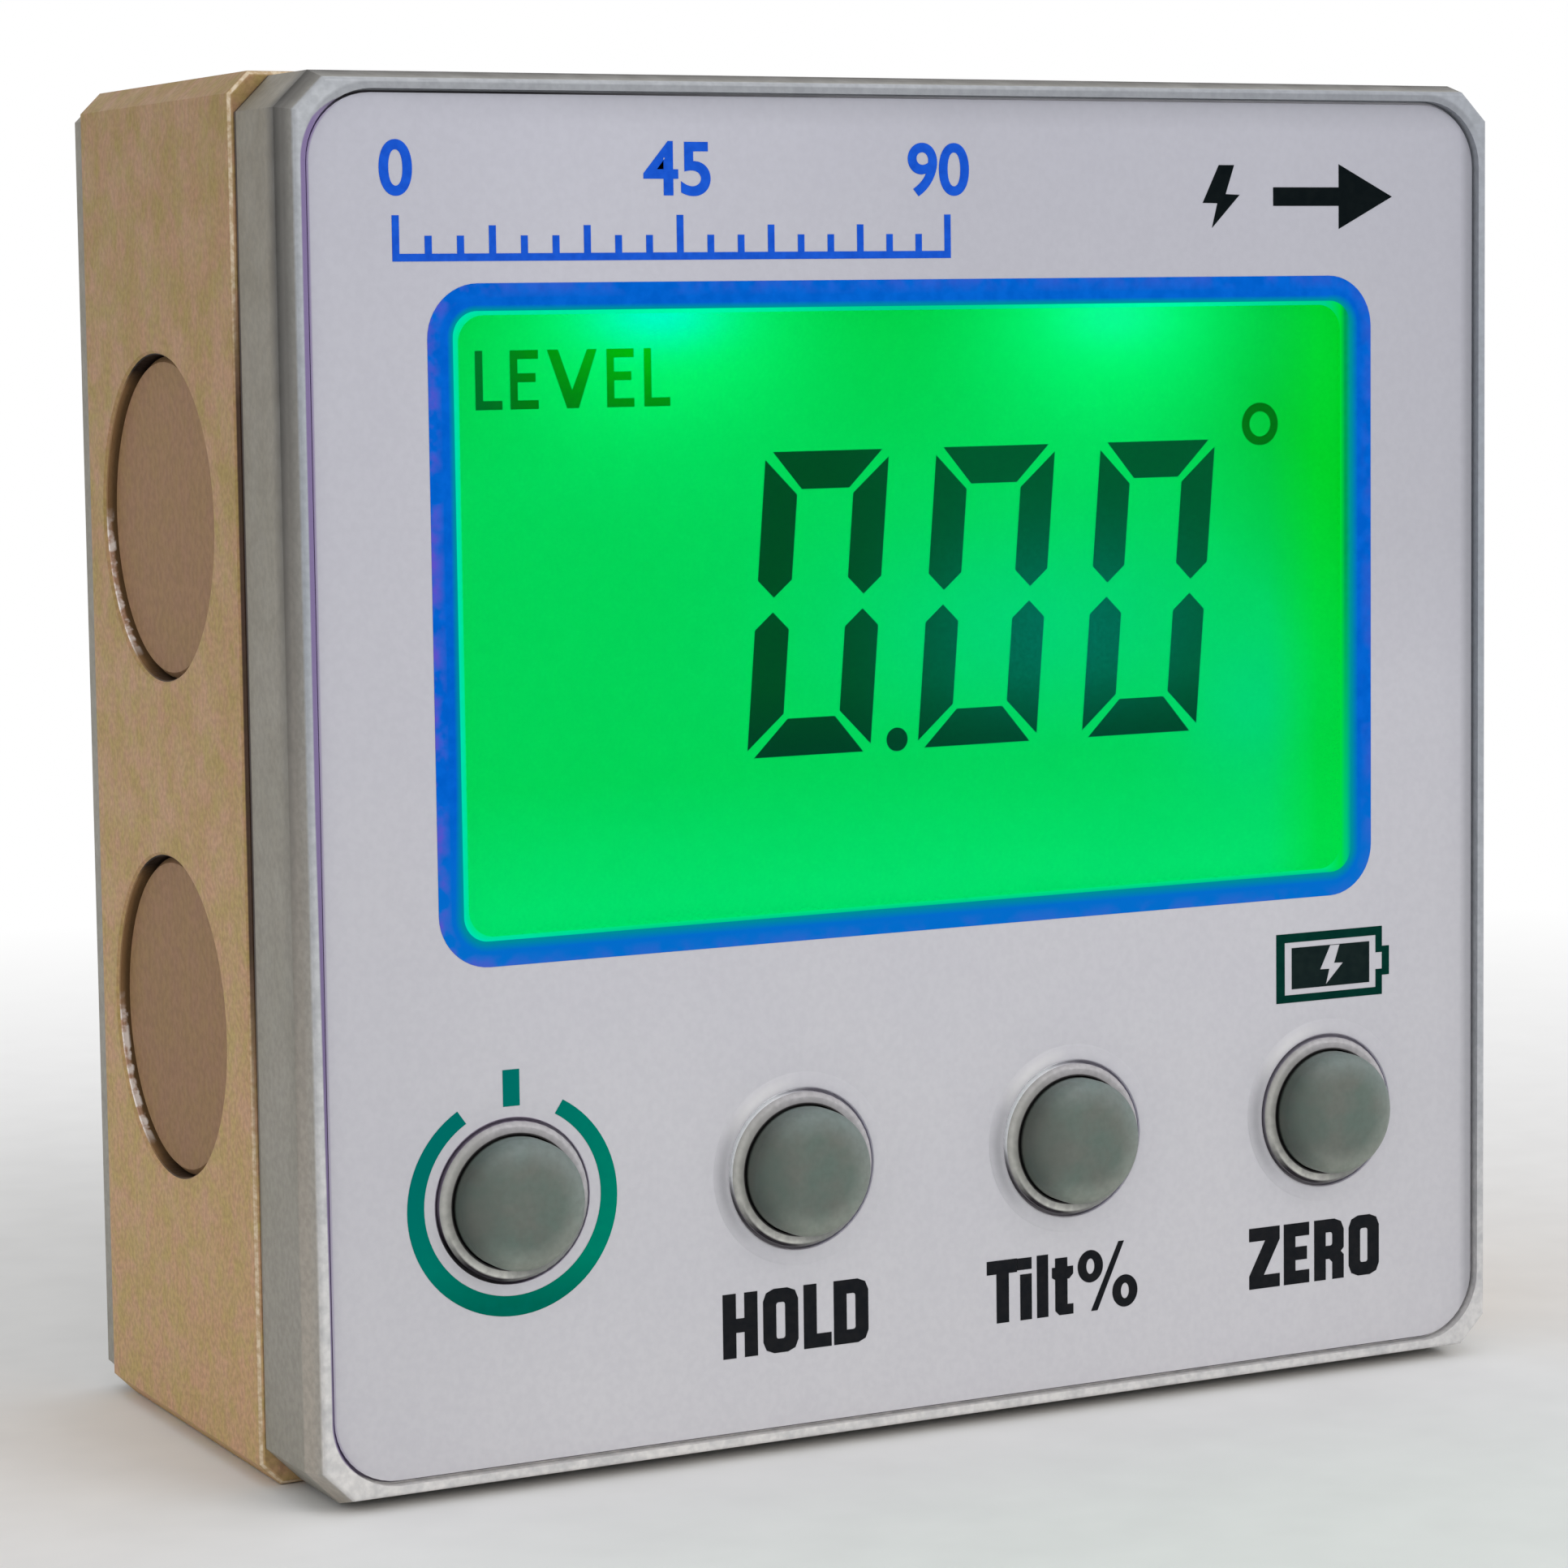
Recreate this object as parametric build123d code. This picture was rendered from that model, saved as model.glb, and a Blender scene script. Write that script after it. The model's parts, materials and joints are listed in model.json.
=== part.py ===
from build123d import *
import os

# Digital level: a square magnetic angle gauge with a lit display and four buttons.
# Frame: millimetres, +Z up, +X right, the display looks along -Y. The origin lies on the
# bottom measuring face, midway between the sides and midway through the depth.
# Places on the face are given from the middle of the square, across (x) and up (z).

# Overall size
side = 57.2                     # aluminium frame, across each pair of measuring faces
depth = 26.0                    # rim of the front cover to the back cover
frame_corner_cut = 0.9
frame_edge_cut = 0.2            # bright machined edge round both ends of the frame
frame_wall = 5.2
frame_cavity_r = 3.0

# Covers, set back a little from the measuring faces
cover_setback = 0.2
front_corner_cut = 1.45
front_taper_depth = 1.4         # tapered band next to the rim
front_taper_angle = 15.0
rim_round = 0.15
cover_wall = 1.8
cover_cavity_r = 1.2
face_plate = 1.5
back_cover_edge = 1.4
back_corner_cut = 1.0
back_edge_cut = 0.35
back_lip_depth = 1.5
back_lip_wall = 1.3
lip_clearance = 0.2

# Face label and the recess it lies in
label_margin = 0.9              # side of the cover to the edge of the label
label_r = 2.7
label_thickness = 0.25
label_sink = 0.3                # label surface below the rim
label_clearance = 0.15

# Display window, placed by its distances from the label's edges and the button row
window_left_margin = 6.1
window_right_margin = 6.7
window_top_margin = 8.555
window_button_gap = 10.695
window_r = 1.3
window_flange = 1.3             # hidden edge of the window behind the label
window_thickness = 1.0
window_ledge = 0.8
pane_clearance = 0.06
pane_sink = 0.03

# Display stack
lcd_margin_x = 1.6
lcd_margin_top = 1.6
lcd_ledge = 1.6                 # strip of contacts along the lower edge of the rear glass
lcd_front_glass = 0.7
lcd_rear_glass = 0.7
tray_depth = 1.15
tray_wall = 0.9
tray_floor = 0.25
guide_thickness = 0.8
led_width = 3.0
led_height = 1.0
led_pitch = 24.0
strip_height = 1.5
stack_clearance = 0.05

# Buttons
button_side_gap = 7.88          # side of the label to the middle of the outer buttons
button_row_rise = 10.8          # bottom edge of the label to the middle of the buttons
button_travel = 0.5
cap_r = 2.68
cap_stand = 1.75                # crown of a cap in front of the label
cap_crown = 0.28
cap_edge_r = 0.6
cap_flange = 0.5
cap_flange_overlap = 0.6        # flange behind the plate, past the edge of its bore
bore_clearance = 0.07
collar_wall = 0.52
collar_stand = 0.28
collar_round = 0.22
label_hole_clearance = 0.12
flange_clearance = 0.05

# Tact switches under the caps
switch_size = 4.6
switch_height = 1.3
switch_edge_cut = 0.2
plunger_r = 1.2
plunger_clearance = 0.05
plunger_rest_gap = 0.05
plunger_guide = 0.2             # length held in the switch when the button is up
plunger_end_gap = 0.1

# Circuit board
board_thickness = 1.0
board_side_clearance = 0.4
board_notch_clearance = 0.4     # corner notch to the case screw boss in it
board_clearance = 0.1

# Fasteners
case_screw_inset = 4.6          # measuring face to the screw, both ways
case_screw_r = 1.0
case_head_r = 1.85
case_head_cone = 0.85
case_head_sink = 0.1
case_screw_reach = 2.9          # length held in the boss
case_boss_r = 2.2
screw_clearance = 0.15
thread_clearance = 0.04
cross_width = 0.42
cross_share = 0.6               # driver recess across the head, as a share of its radius
cross_depth = 0.5
board_screw_r = 0.7
board_head_r = 1.15
board_head_height = 0.7
board_head_edge_cut = 0.25
board_boss_r = 1.5
board_screw_reach = 1.9
board_screw_inset = 4.9         # side of the board to the lower pair
board_screw_pitch = 24.0        # upper pair
boss_gap_below = 1.095          # glass to the bosses of the lower pair
boss_gap_above = 0.105          # glass to the bosses of the upper pair

# Gaskets
gasket_thickness = 0.15
gasket_setback = 0.3
gasket_width = 1.3

# Magnets, a pair let into each measuring face
magnet_r = 6.75
magnet_thickness = 3.0
magnet_edge_cut = 0.25
magnet_clearance = 0.08
magnet_pitch = 21.1
magnet_sink = 0.45
magnet_glue = 0.05
magnet_back_shift = 0.45        # pairs sit a little behind the middle of the frame
pocket_edge_cut = 0.15

# Charging socket in the right wall of the front cover
socket_drop = 12.0              # top measuring face to the middle of the socket
socket_width = 7.4
socket_height = 2.4
socket_length = 5.0
socket_r = 0.6
socket_wall = 0.3
socket_sink = 0.25              # mouth behind the outside of the cover
socket_clearance = 0.2
tongue_width = 3.8
tongue_height = 0.6
tongue_length = 3.6
tongue_base = 0.6
tongue_base_clearance = 0.15

# Battery, its pad, header and leads
battery_width = 36.0
battery_height = 22.0
battery_thickness = 5.2
battery_round = 1.6
battery_rise = 6.4              # floor of the frame to the cell
battery_strip_width = 28.0
battery_strip_height = 2.2
battery_strip_thickness = 3.0
pad_thickness = 0.6
pad_width = 26.0
pad_height = 16.0
header_width = 6.0
header_height = 4.0
header_depth = 4.0
header_rise = 6.8               # top of the cell's strip to the middle of the header
lead_r = 0.4
lead_pitch = 2.0
lead_bend_share = 0.45

# Parts soldered to the back of the board: across, up, width, height, thickness
tilt_sensor_size = (-13.0, -9.0, 5.0, 5.0, 1.6)
controller_size = (0.0, 1.0, 9.0, 9.0, 1.4)
charger_inset = 7.9             # inside of the frame to the middle of the chip, both ways
charger_width = 4.0
charger_thickness = 0.9
crystal_size = (-13.0, 4.0, 3.0, 7.0, 2.4)
crystal_r = 1.35
capacitor_size = (1.3, 2.1, 1.2)
capacitor_shifts = {            # from the middle of the part that they serve
    "controller": [(8.5, -7.0), (11.0, -7.0), (13.5, -7.0)],
    "charger": [(-6.5, 0.0), (5.0, 0.0)],
    "crystal": [(0.0, 7.5)],
}
controller_leads = 8
controller_lead_width = 0.35
controller_lead_reach = 1.0
controller_lead_thickness = 0.2

# Outlines across the face, from the outside in
half = side / 2
middle_z = half
cover_half = half - cover_setback
cover_cavity_half = cover_half - cover_wall
cavity_half = half - frame_wall
label_half = cover_half - label_margin
recess_half = label_half + label_clearance
board_half = cover_cavity_half - board_side_clearance

# Button row and window on the face
button_z = button_row_rise - label_half
window_left = window_left_margin - label_half
window_right = label_half - window_right_margin
window_top = label_half - window_top_margin
window_bottom = button_z + window_button_gap
window_width = window_right - window_left
window_height = window_top - window_bottom
window_x = (window_left + window_right) / 2
window_z = (window_top + window_bottom) / 2

# Display stack across the face
lcd_half_width = window_width / 2 + lcd_margin_x
lcd_top = window_top + lcd_margin_top
lcd_front_bottom = window_bottom - window_ledge
lcd_bottom = lcd_front_bottom - lcd_ledge

# Places along the depth, front to back. The board's back face is flush with the cover's.
rim_front = -depth / 2
label_front = rim_front + label_sink
plate_front = label_front + label_thickness
plate_back = plate_front + face_plate
lcd_front = plate_back + stack_clearance
lcd_split = lcd_front + lcd_front_glass
lcd_back = lcd_split + lcd_rear_glass
tray_front = lcd_back
tray_back = tray_front + tray_depth
board_front = tray_back + stack_clearance
board_back = board_front + board_thickness
front_cover_back = board_back
frame_front = front_cover_back + gasket_thickness
back_face = depth / 2
back_cover_front = back_face - back_cover_edge
frame_back = back_cover_front - gasket_thickness
frame_middle = (frame_front + frame_back) / 2

# Buttons and their switches
bore_r = cap_r + bore_clearance
collar_r = bore_r + collar_wall
label_hole_r = collar_r + label_hole_clearance
cap_flange_r = bore_r + cap_flange_overlap
cap_front = label_front - cap_stand
flange_front = plate_back + flange_clearance
flange_back = flange_front + cap_flange
switch_front = board_front - switch_height
plunger_front = flange_back + plunger_rest_gap
plunger_back = switch_front + plunger_guide
switch_bore_end = plunger_back + button_travel + plunger_end_gap
button_names = ["power", "hold", "tilt", "zero"]
button_pitch = 2 * (label_half - button_side_gap) / (len(button_names) - 1)
first_button_x = button_side_gap - label_half
button_places = [(first_button_x + i * button_pitch, button_z) for i in range(len(button_names))]

# Fasteners
case_screw_place = half - case_screw_inset
case_screw_places = [
    (x, z)
    for x in (-case_screw_place, case_screw_place)
    for z in (-case_screw_place, case_screw_place)
]
board_notch_start = case_screw_place - case_boss_r - board_notch_clearance
lower_screw_x = board_half - board_screw_inset
lower_screw_z = lcd_bottom - boss_gap_below - board_boss_r
upper_screw_x = board_screw_pitch / 2
upper_screw_z = lcd_top + boss_gap_above + board_boss_r
board_screw_places = [
    (-lower_screw_x, lower_screw_z),
    (lower_screw_x, lower_screw_z),
    (-upper_screw_x, upper_screw_z),
    (upper_screw_x, upper_screw_z),
]

# Magnets
magnet_y = frame_middle + magnet_back_shift
pocket_r = magnet_r + magnet_clearance
pocket_depth = magnet_sink + magnet_thickness + magnet_glue

# Charging socket, which lies against the front of the board
socket_y = board_front - socket_height / 2
socket_z = half - socket_drop
socket_mouth = cover_half - socket_sink
socket_rear = socket_mouth - socket_length

# Battery, against its pad on the back cover
battery_back = back_cover_front - pad_thickness
battery_front = battery_back - battery_thickness
battery_middle = (battery_back + battery_front) / 2
battery_z = -cavity_half + battery_rise + battery_height / 2
battery_top = battery_z + battery_height / 2
strip_top = battery_top + battery_strip_height
header_z = strip_top + header_rise

# Parts on the back of the board
charger_place = cavity_half - charger_inset
charger_size = (charger_place, charger_place, charger_width, charger_width, charger_thickness)
served_parts = {"controller": controller_size, "charger": charger_size, "crystal": crystal_size}
capacitor_places = [
    (served_parts[name][0] + dx, served_parts[name][1] + dz)
    for name, shifts in capacitor_shifts.items()
    for dx, dz in shifts
]


def face_plane(y):
    """Sketch plane across the instrument at depth y, seen from the front."""
    return Plane(origin=(0, y, middle_z), x_dir=(1, 0, 0), z_dir=(0, -1, 0))


def slab(profile, front, back):
    """A piece of constant outline, from depth front to depth back."""
    return extrude(face_plane(back) * profile, amount=back - front)


def block(x, z, width, height, front, back):
    """A plain box, placed by the middle of its outline on the face."""
    return slab(Pos(x, z) * Rectangle(width, height), front, back)


def cut_square(half_width, corner_cut):
    """Square outline with its corners cut off."""
    square = Rectangle(2 * half_width, 2 * half_width)
    return chamfer(square.vertices(), corner_cut)


def disc(x, z, radius, front, back):
    """A round piece along the depth."""
    return slab(Pos(x, z) * Circle(radius), front, back)


def ring(outer, inner, front, back):
    """A flat frame between two outlines."""
    return slab(outer - inner, front, back)


def turned(profile, place):
    """Revolve a half profile (radius, depth) about the depth axis at a place on the face."""
    x, z = place
    return Pos(x, 0, middle_z + z) * revolve(profile, Axis.Y)


def measuring_faces():
    """Outward planes on the four measuring faces, with the names of their two magnets."""
    upright = (0, 0, 1)
    across = (1, 0, 0)
    return [
        (Plane((-half, magnet_y, middle_z), x_dir=upright, z_dir=(-1, 0, 0)), "left_lower", "left_upper"),
        (Plane((half, magnet_y, middle_z), x_dir=upright, z_dir=(1, 0, 0)), "right_lower", "right_upper"),
        (Plane((0, magnet_y, side), x_dir=across, z_dir=(0, 0, 1)), "top_left", "top_right"),
        (Plane((0, magnet_y, 0), x_dir=across, z_dir=(0, 0, -1)), "base_left", "base_right"),
    ]


def magnet_spots():
    """Plane and name of each magnet."""
    spots = []
    for plane, low_name, high_name in measuring_faces():
        for shift, name in ((-magnet_pitch / 2, low_name), (magnet_pitch / 2, high_name)):
            spots.append((Plane(plane * Pos(shift, 0)), name))
    return spots


def body_frame():
    """Square aluminium ring with pockets for the magnets and holes for the case screws."""
    frame = slab(cut_square(half, frame_corner_cut), frame_front, frame_back)
    ends = frame.faces().sort_by(Axis.Y)
    frame = chamfer(ends[0].edges() + ends[-1].edges(), frame_edge_cut)
    cavity = RectangleRounded(2 * cavity_half, 2 * cavity_half, frame_cavity_r)
    frame -= slab(cavity, frame_front, frame_back)
    for x, z in case_screw_places:
        frame -= disc(x, z, case_screw_r + screw_clearance, frame_front, frame_back)
    for spot, name in magnet_spots():
        frame -= extrude(spot * Circle(pocket_r), amount=-pocket_depth)
        frame -= extrude(spot * Circle(pocket_r + pocket_edge_cut), amount=-pocket_edge_cut, taper=45)
    return frame


def magnet(spot):
    """Disc magnet glued into its pocket, a little below the measuring face."""
    disc_outline = spot * Circle(magnet_r)
    pill = extrude(disc_outline, amount=magnet_thickness)
    outer_rim = pill.faces().sort_by(Axis(spot.origin, spot.z_dir))[-1].edges()
    pill = chamfer(outer_rim, magnet_edge_cut)
    return pill.moved(Location(spot.z_dir * -(magnet_sink + magnet_thickness)))


def window_opening(grow, radius_grow=0):
    """Outline of the display window, larger all round by grow."""
    outline = RectangleRounded(window_width + 2 * grow, window_height + 2 * grow, window_r + radius_grow)
    return Pos(window_x, window_z) * outline


def collar(x, z):
    """Raised ring round a button, standing through its hole in the label."""
    body = disc(x, z, collar_r, label_front - collar_stand, plate_front)
    return fillet(body.faces().sort_by(Axis.Y)[0].edges(), collar_round)


def socket_outline(grow):
    """Cross-section of the charging socket, seen from the right side."""
    plane = Plane((0, socket_y, middle_z + socket_z), x_dir=(0, 1, 0), z_dir=(1, 0, 0))
    return plane * RectangleRounded(socket_height + 2 * grow, socket_width + 2 * grow, socket_r + grow)


def from_socket_rear(shape, rear, back):
    """The part of a shape from the depth of the socket's rear wall outwards, in front of back."""
    reach = 2 * (cover_half - rear)
    return shape & block(cover_half, socket_z, reach, side, rim_front, back)


def front_cover():
    """Moulded front cover: tapered rim, face plate, button collars, bosses and socket slot."""
    outline = cut_square(cover_half, front_corner_cut)
    taper_start = rim_front + front_taper_depth
    cover = slab(outline, taper_start, front_cover_back)
    cover += extrude(face_plane(taper_start) * outline, amount=front_taper_depth, taper=front_taper_angle)
    cover = fillet(cover.faces().sort_by(Axis.Y)[0].edges(), rim_round)
    recess = RectangleRounded(2 * recess_half, 2 * recess_half, label_r + label_clearance)
    cover -= slab(recess, rim_front, plate_front)
    cavity = RectangleRounded(2 * cover_cavity_half, 2 * cover_cavity_half, cover_cavity_r)
    cover -= slab(cavity, plate_back, front_cover_back)
    cover -= slab(window_opening(window_ledge), plate_front, plate_back)
    rebate = window_flange + pane_clearance
    cover -= slab(window_opening(rebate), plate_front, plate_front + window_thickness)
    for x, z in button_places:
        cover += collar(x, z)
        cover -= disc(x, z, bore_r, label_front - collar_stand, plate_back)
    for x, z in case_screw_places:
        cover += disc(x, z, case_boss_r, plate_back, front_cover_back)
        cover -= disc(x, z, case_screw_r + thread_clearance, plate_back, front_cover_back)
    for x, z in board_screw_places:
        cover += disc(x, z, board_boss_r, plate_back, board_front)
        cover -= disc(x, z, board_screw_r + thread_clearance, plate_back, board_front)
    slot = extrude(socket_outline(socket_clearance), amount=cover_half)
    return cover - from_socket_rear(slot, socket_rear, front_cover_back)


def face_label():
    """Printed face overlay with holes for the window and the four collars."""
    label = slab(RectangleRounded(2 * label_half, 2 * label_half, label_r), label_front, plate_front)
    label -= slab(window_opening(0), label_front, plate_front)
    for x, z in button_places:
        label -= disc(x, z, label_hole_r, label_front, plate_front)
    return label


def display_window():
    """Clear window: a flange let in under the label and a pane that fills its opening."""
    pane = slab(window_opening(-pane_clearance), label_front + pane_sink, plate_front)
    return pane + slab(window_opening(window_flange), plate_front, plate_front + window_thickness)


def lcd_panel():
    """Glass sandwich with a bare contact ledge along the lower edge of the rear glass."""
    width = 2 * lcd_half_width
    front_height = lcd_top - lcd_front_bottom
    rear_height = lcd_top - lcd_bottom
    front_middle = (lcd_top + lcd_front_bottom) / 2
    rear_middle = (lcd_top + lcd_bottom) / 2
    panel = block(window_x, front_middle, width, front_height, lcd_front, lcd_split)
    return panel + block(window_x, rear_middle, width, rear_height, lcd_split, lcd_back)


def backlight_pocket(depth_front, depth_back):
    """Inside of the backlight tray."""
    inner_height = lcd_top - lcd_front_bottom - 2 * tray_wall
    middle = (lcd_top + lcd_front_bottom) / 2
    return block(window_x, middle, 2 * (lcd_half_width - tray_wall), inner_height, depth_front, depth_back)


def backlight_tray():
    """Tray behind the glass that holds the light guide and the lamps."""
    middle = (lcd_top + lcd_front_bottom) / 2
    tray = block(window_x, middle, 2 * lcd_half_width, lcd_top - lcd_front_bottom, tray_front, tray_back)
    return tray - backlight_pocket(tray_front, tray_back - tray_floor)


def light_guide():
    """Clear plate that spreads the light of the lamps behind the glass."""
    inner_top = lcd_top - tray_wall
    top = inner_top - led_height - 2 * stack_clearance
    bottom = lcd_front_bottom + tray_wall + stack_clearance
    width = 2 * (lcd_half_width - tray_wall - stack_clearance)
    guide_back = tray_back - tray_floor
    return block(window_x, (top + bottom) / 2, width, top - bottom, guide_back - guide_thickness, guide_back)


def backlight_lamps():
    """Two side-lighting lamps along the upper edge of the tray."""
    lamp_z = lcd_top - tray_wall - led_height / 2
    back = tray_back - tray_floor
    return [
        block(window_x + s * led_pitch / 2, lamp_z, led_width, led_height, back - guide_thickness, back)
        for s in (-1, 1)
    ]


def contact_strip():
    """Elastomer strip that joins the glass contacts to the board."""
    strip_z = lcd_bottom + strip_height / 2
    return block(window_x, strip_z, 2 * lcd_half_width - 2 * tray_wall, strip_height, lcd_back, board_front)


def main_board():
    """Circuit board, notched round the case screw bosses."""
    board = slab(Rectangle(2 * board_half, 2 * board_half), board_front, board_back)
    notch = 2 * (board_half - board_notch_start)
    for sx in (-1, 1):
        for sz in (-1, 1):
            board -= block(sx * board_half, sz * board_half, notch, notch, board_front, board_back)
    for x, z in board_screw_places:
        board -= disc(x, z, board_screw_r + board_clearance, board_front, board_back)
    return board


def button_cap(place):
    """Soft cap with a domed crown, held behind the face plate by its flange."""
    crown_edge = cap_front + cap_crown
    crown = ThreePointArc((0, cap_front), (cap_r / 2, cap_front + cap_crown / 4), (cap_r, crown_edge))
    sides = Polyline(
        (cap_r, crown_edge),
        (cap_r, flange_front),
        (cap_flange_r, flange_front),
        (cap_flange_r, flange_back),
        (0, flange_back),
        (0, cap_front),
    )
    profile = make_face(crown + sides)
    corner = profile.vertices().sort_by_distance(Vector(cap_r, crown_edge, 0))[0]
    return turned(fillet(corner, cap_edge_r), place)


def switch_plunger(place):
    """Stem of a tact switch, which moves with the cap in front of it."""
    x, z = place
    return disc(x, z, plunger_r, plunger_front, plunger_back)


def tact_switch(place):
    """Housing of a tact switch on the board, with a guide hole for its plunger."""
    x, z = place
    housing = block(x, z, switch_size, switch_size, switch_front, board_front)
    housing = chamfer(housing.faces().sort_by(Axis.Y)[0].edges(), switch_edge_cut)
    return housing - disc(x, z, plunger_r + plunger_clearance, switch_front, switch_bore_end)


def cross_recess(radius):
    """Cross-shaped driver recess, centred on the screw axis."""
    bar = Rectangle(2 * radius, cross_width)
    return bar + Rot(0, 0, 90) * bar


def case_screw(place):
    """Countersunk screw from the back cover through the frame into a front boss."""
    head_back = back_face - case_head_sink
    neck = head_back - case_head_cone
    tip = front_cover_back - case_screw_reach
    profile = make_face(
        Polyline(
            (0, head_back),
            (case_head_r, head_back),
            (case_screw_r, neck),
            (case_screw_r, tip + case_screw_r / 2),
            (case_screw_r / 2, tip),
            (0, tip),
            (0, head_back),
        )
    )
    x, z = place
    recess = slab(Pos(x, z) * cross_recess(case_head_r * cross_share), head_back - cross_depth, head_back)
    return turned(profile, place) - recess


def board_screw(place):
    """Small pan-head screw that holds the board on a boss of the front cover."""
    x, z = place
    head_back = board_back + board_head_height
    head = disc(x, z, board_head_r, board_back, head_back)
    head = chamfer(head.faces().sort_by(Axis.Y)[-1].edges(), board_head_edge_cut)
    shank = disc(x, z, board_screw_r, board_front - board_screw_reach, board_back)
    cross = Pos(x, z) * cross_recess(board_head_r * cross_share)
    return head + shank - slab(cross, head_back - board_head_height / 2, head_back)


def gasket(front, back):
    """Flat gasket between the frame and a cover."""
    outer_half = cover_half - gasket_setback
    outer = cut_square(outer_half, front_corner_cut)
    inner = cut_square(outer_half - gasket_width, front_corner_cut)
    return ring(outer, inner, front, back)


def back_cover():
    """Back cover: a plate with a locating lip and countersunk screw holes."""
    plate = slab(cut_square(cover_half, back_corner_cut), back_cover_front, back_face)
    plate = chamfer(plate.faces().sort_by(Axis.Y)[-1].edges(), back_edge_cut)
    lip_half = cavity_half - lip_clearance
    lip_r = frame_cavity_r - lip_clearance
    lip_inner_half = lip_half - back_lip_wall
    lip = RectangleRounded(2 * lip_half, 2 * lip_half, lip_r)
    lip -= RectangleRounded(2 * lip_inner_half, 2 * lip_inner_half, lip_r - back_lip_wall)
    plate += slab(lip, back_cover_front - back_lip_depth, back_cover_front)
    seat_r = case_head_r + screw_clearance
    seat_end = back_face - case_head_sink - case_head_cone
    hole_r = case_screw_r + screw_clearance
    seat = make_face(
        Polyline(
            (0, back_face),
            (seat_r, back_face),
            (seat_r, back_face - case_head_sink),
            (hole_r, seat_end),
            (0, seat_end),
            (0, back_face),
        )
    )
    for x, z in case_screw_places:
        plate -= disc(x, z, hole_r, back_cover_front, back_face)
        plate -= turned(seat, (x, z))
    return plate


def charging_socket():
    """Pressed metal shell of the charging socket, open at its mouth."""
    shell = extrude(socket_outline(0), amount=socket_mouth)
    hollow = extrude(socket_outline(-socket_wall), amount=socket_mouth)
    shell = from_socket_rear(shell, socket_rear, board_front)
    return shell - from_socket_rear(hollow, socket_rear + socket_wall, board_front)


def socket_tongue():
    """Contact tongue inside the charging socket."""
    rear = socket_rear + socket_wall
    tongue = block(rear + tongue_length / 2, socket_z, tongue_length, tongue_width,
                   socket_y - tongue_height / 2, socket_y + tongue_height / 2)
    base_width = socket_width - 2 * (socket_wall + socket_r)
    base_height = socket_height - 2 * (socket_wall + tongue_base_clearance)
    base = block(rear + tongue_base / 2, socket_z, tongue_base, base_width,
                 socket_y - base_height / 2, socket_y + base_height / 2)
    return tongue + base


def board_part(size):
    """Chip or can soldered to the back of the board."""
    x, z, width, height, thickness = size
    return block(x, z, width, height, board_back, board_back + thickness)


def microcontroller():
    """Square package with a row of bent leads along each side."""
    x, z, width, height, thickness = controller_size
    body_front = board_back + controller_lead_thickness / 2
    body = block(x, z, width, height, body_front, board_back + thickness)
    pitch = width / (controller_leads + 1)
    reach = width + 2 * controller_lead_reach
    foot = board_back + controller_lead_thickness
    for i in range(controller_leads):
        shift = (i - (controller_leads - 1) / 2) * pitch
        body += block(x, z + shift, reach, controller_lead_width, board_back, foot)
        body += block(x + shift, z, controller_lead_width, reach, board_back, foot)
    return body


def capacitors():
    """Small capacitors round the chips."""
    width, height, thickness = capacitor_size
    return [board_part((x, z, width, height, thickness)) for x, z in capacitor_places]


def crystal():
    """Metal crystal can with rounded ends."""
    x, z, width, height, thickness = crystal_size
    return slab(Pos(x, z) * RectangleRounded(width, height, crystal_r), board_back, board_back + thickness)


def battery():
    """Flat rechargeable cell with its protection strip along the top edge."""
    cell = block(0, battery_z, battery_width, battery_height, battery_front, battery_back)
    cell = fillet(cell.edges().filter_by(Axis.X) + cell.edges().filter_by(Axis.Z), battery_round)
    strip_z = (battery_top + strip_top) / 2
    half_strip = battery_strip_thickness / 2
    overlap = battery_round
    return cell + block(0, strip_z - overlap / 2, battery_strip_width, battery_strip_height + overlap,
                        battery_middle - half_strip, battery_middle + half_strip)


def battery_pad():
    """Foam tape that holds the cell on the back cover."""
    return block(0, battery_z, pad_width, pad_height, battery_back, back_cover_front)


def battery_header():
    """Plug housing on the board that takes the two leads."""
    return block(0, header_z, header_width, header_height, board_back, board_back + header_depth)


def battery_leads():
    """Two leads from the cell's protection strip up and forward to the header."""
    rise = header_z - strip_top
    leads = []
    for sx in (-1, 1):
        x = sx * lead_pitch / 2
        start = (x, battery_middle, middle_z + strip_top)
        turn = (x, battery_middle, middle_z + header_z)
        end = (x, board_back + header_depth, middle_z + header_z)
        path = FilletPolyline(start, turn, end, radius=lead_bend_share * rise)
        leads.append(sweep(Plane(start, z_dir=(0, 0, 1)) * Circle(lead_r), path=path))
    return leads


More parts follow.
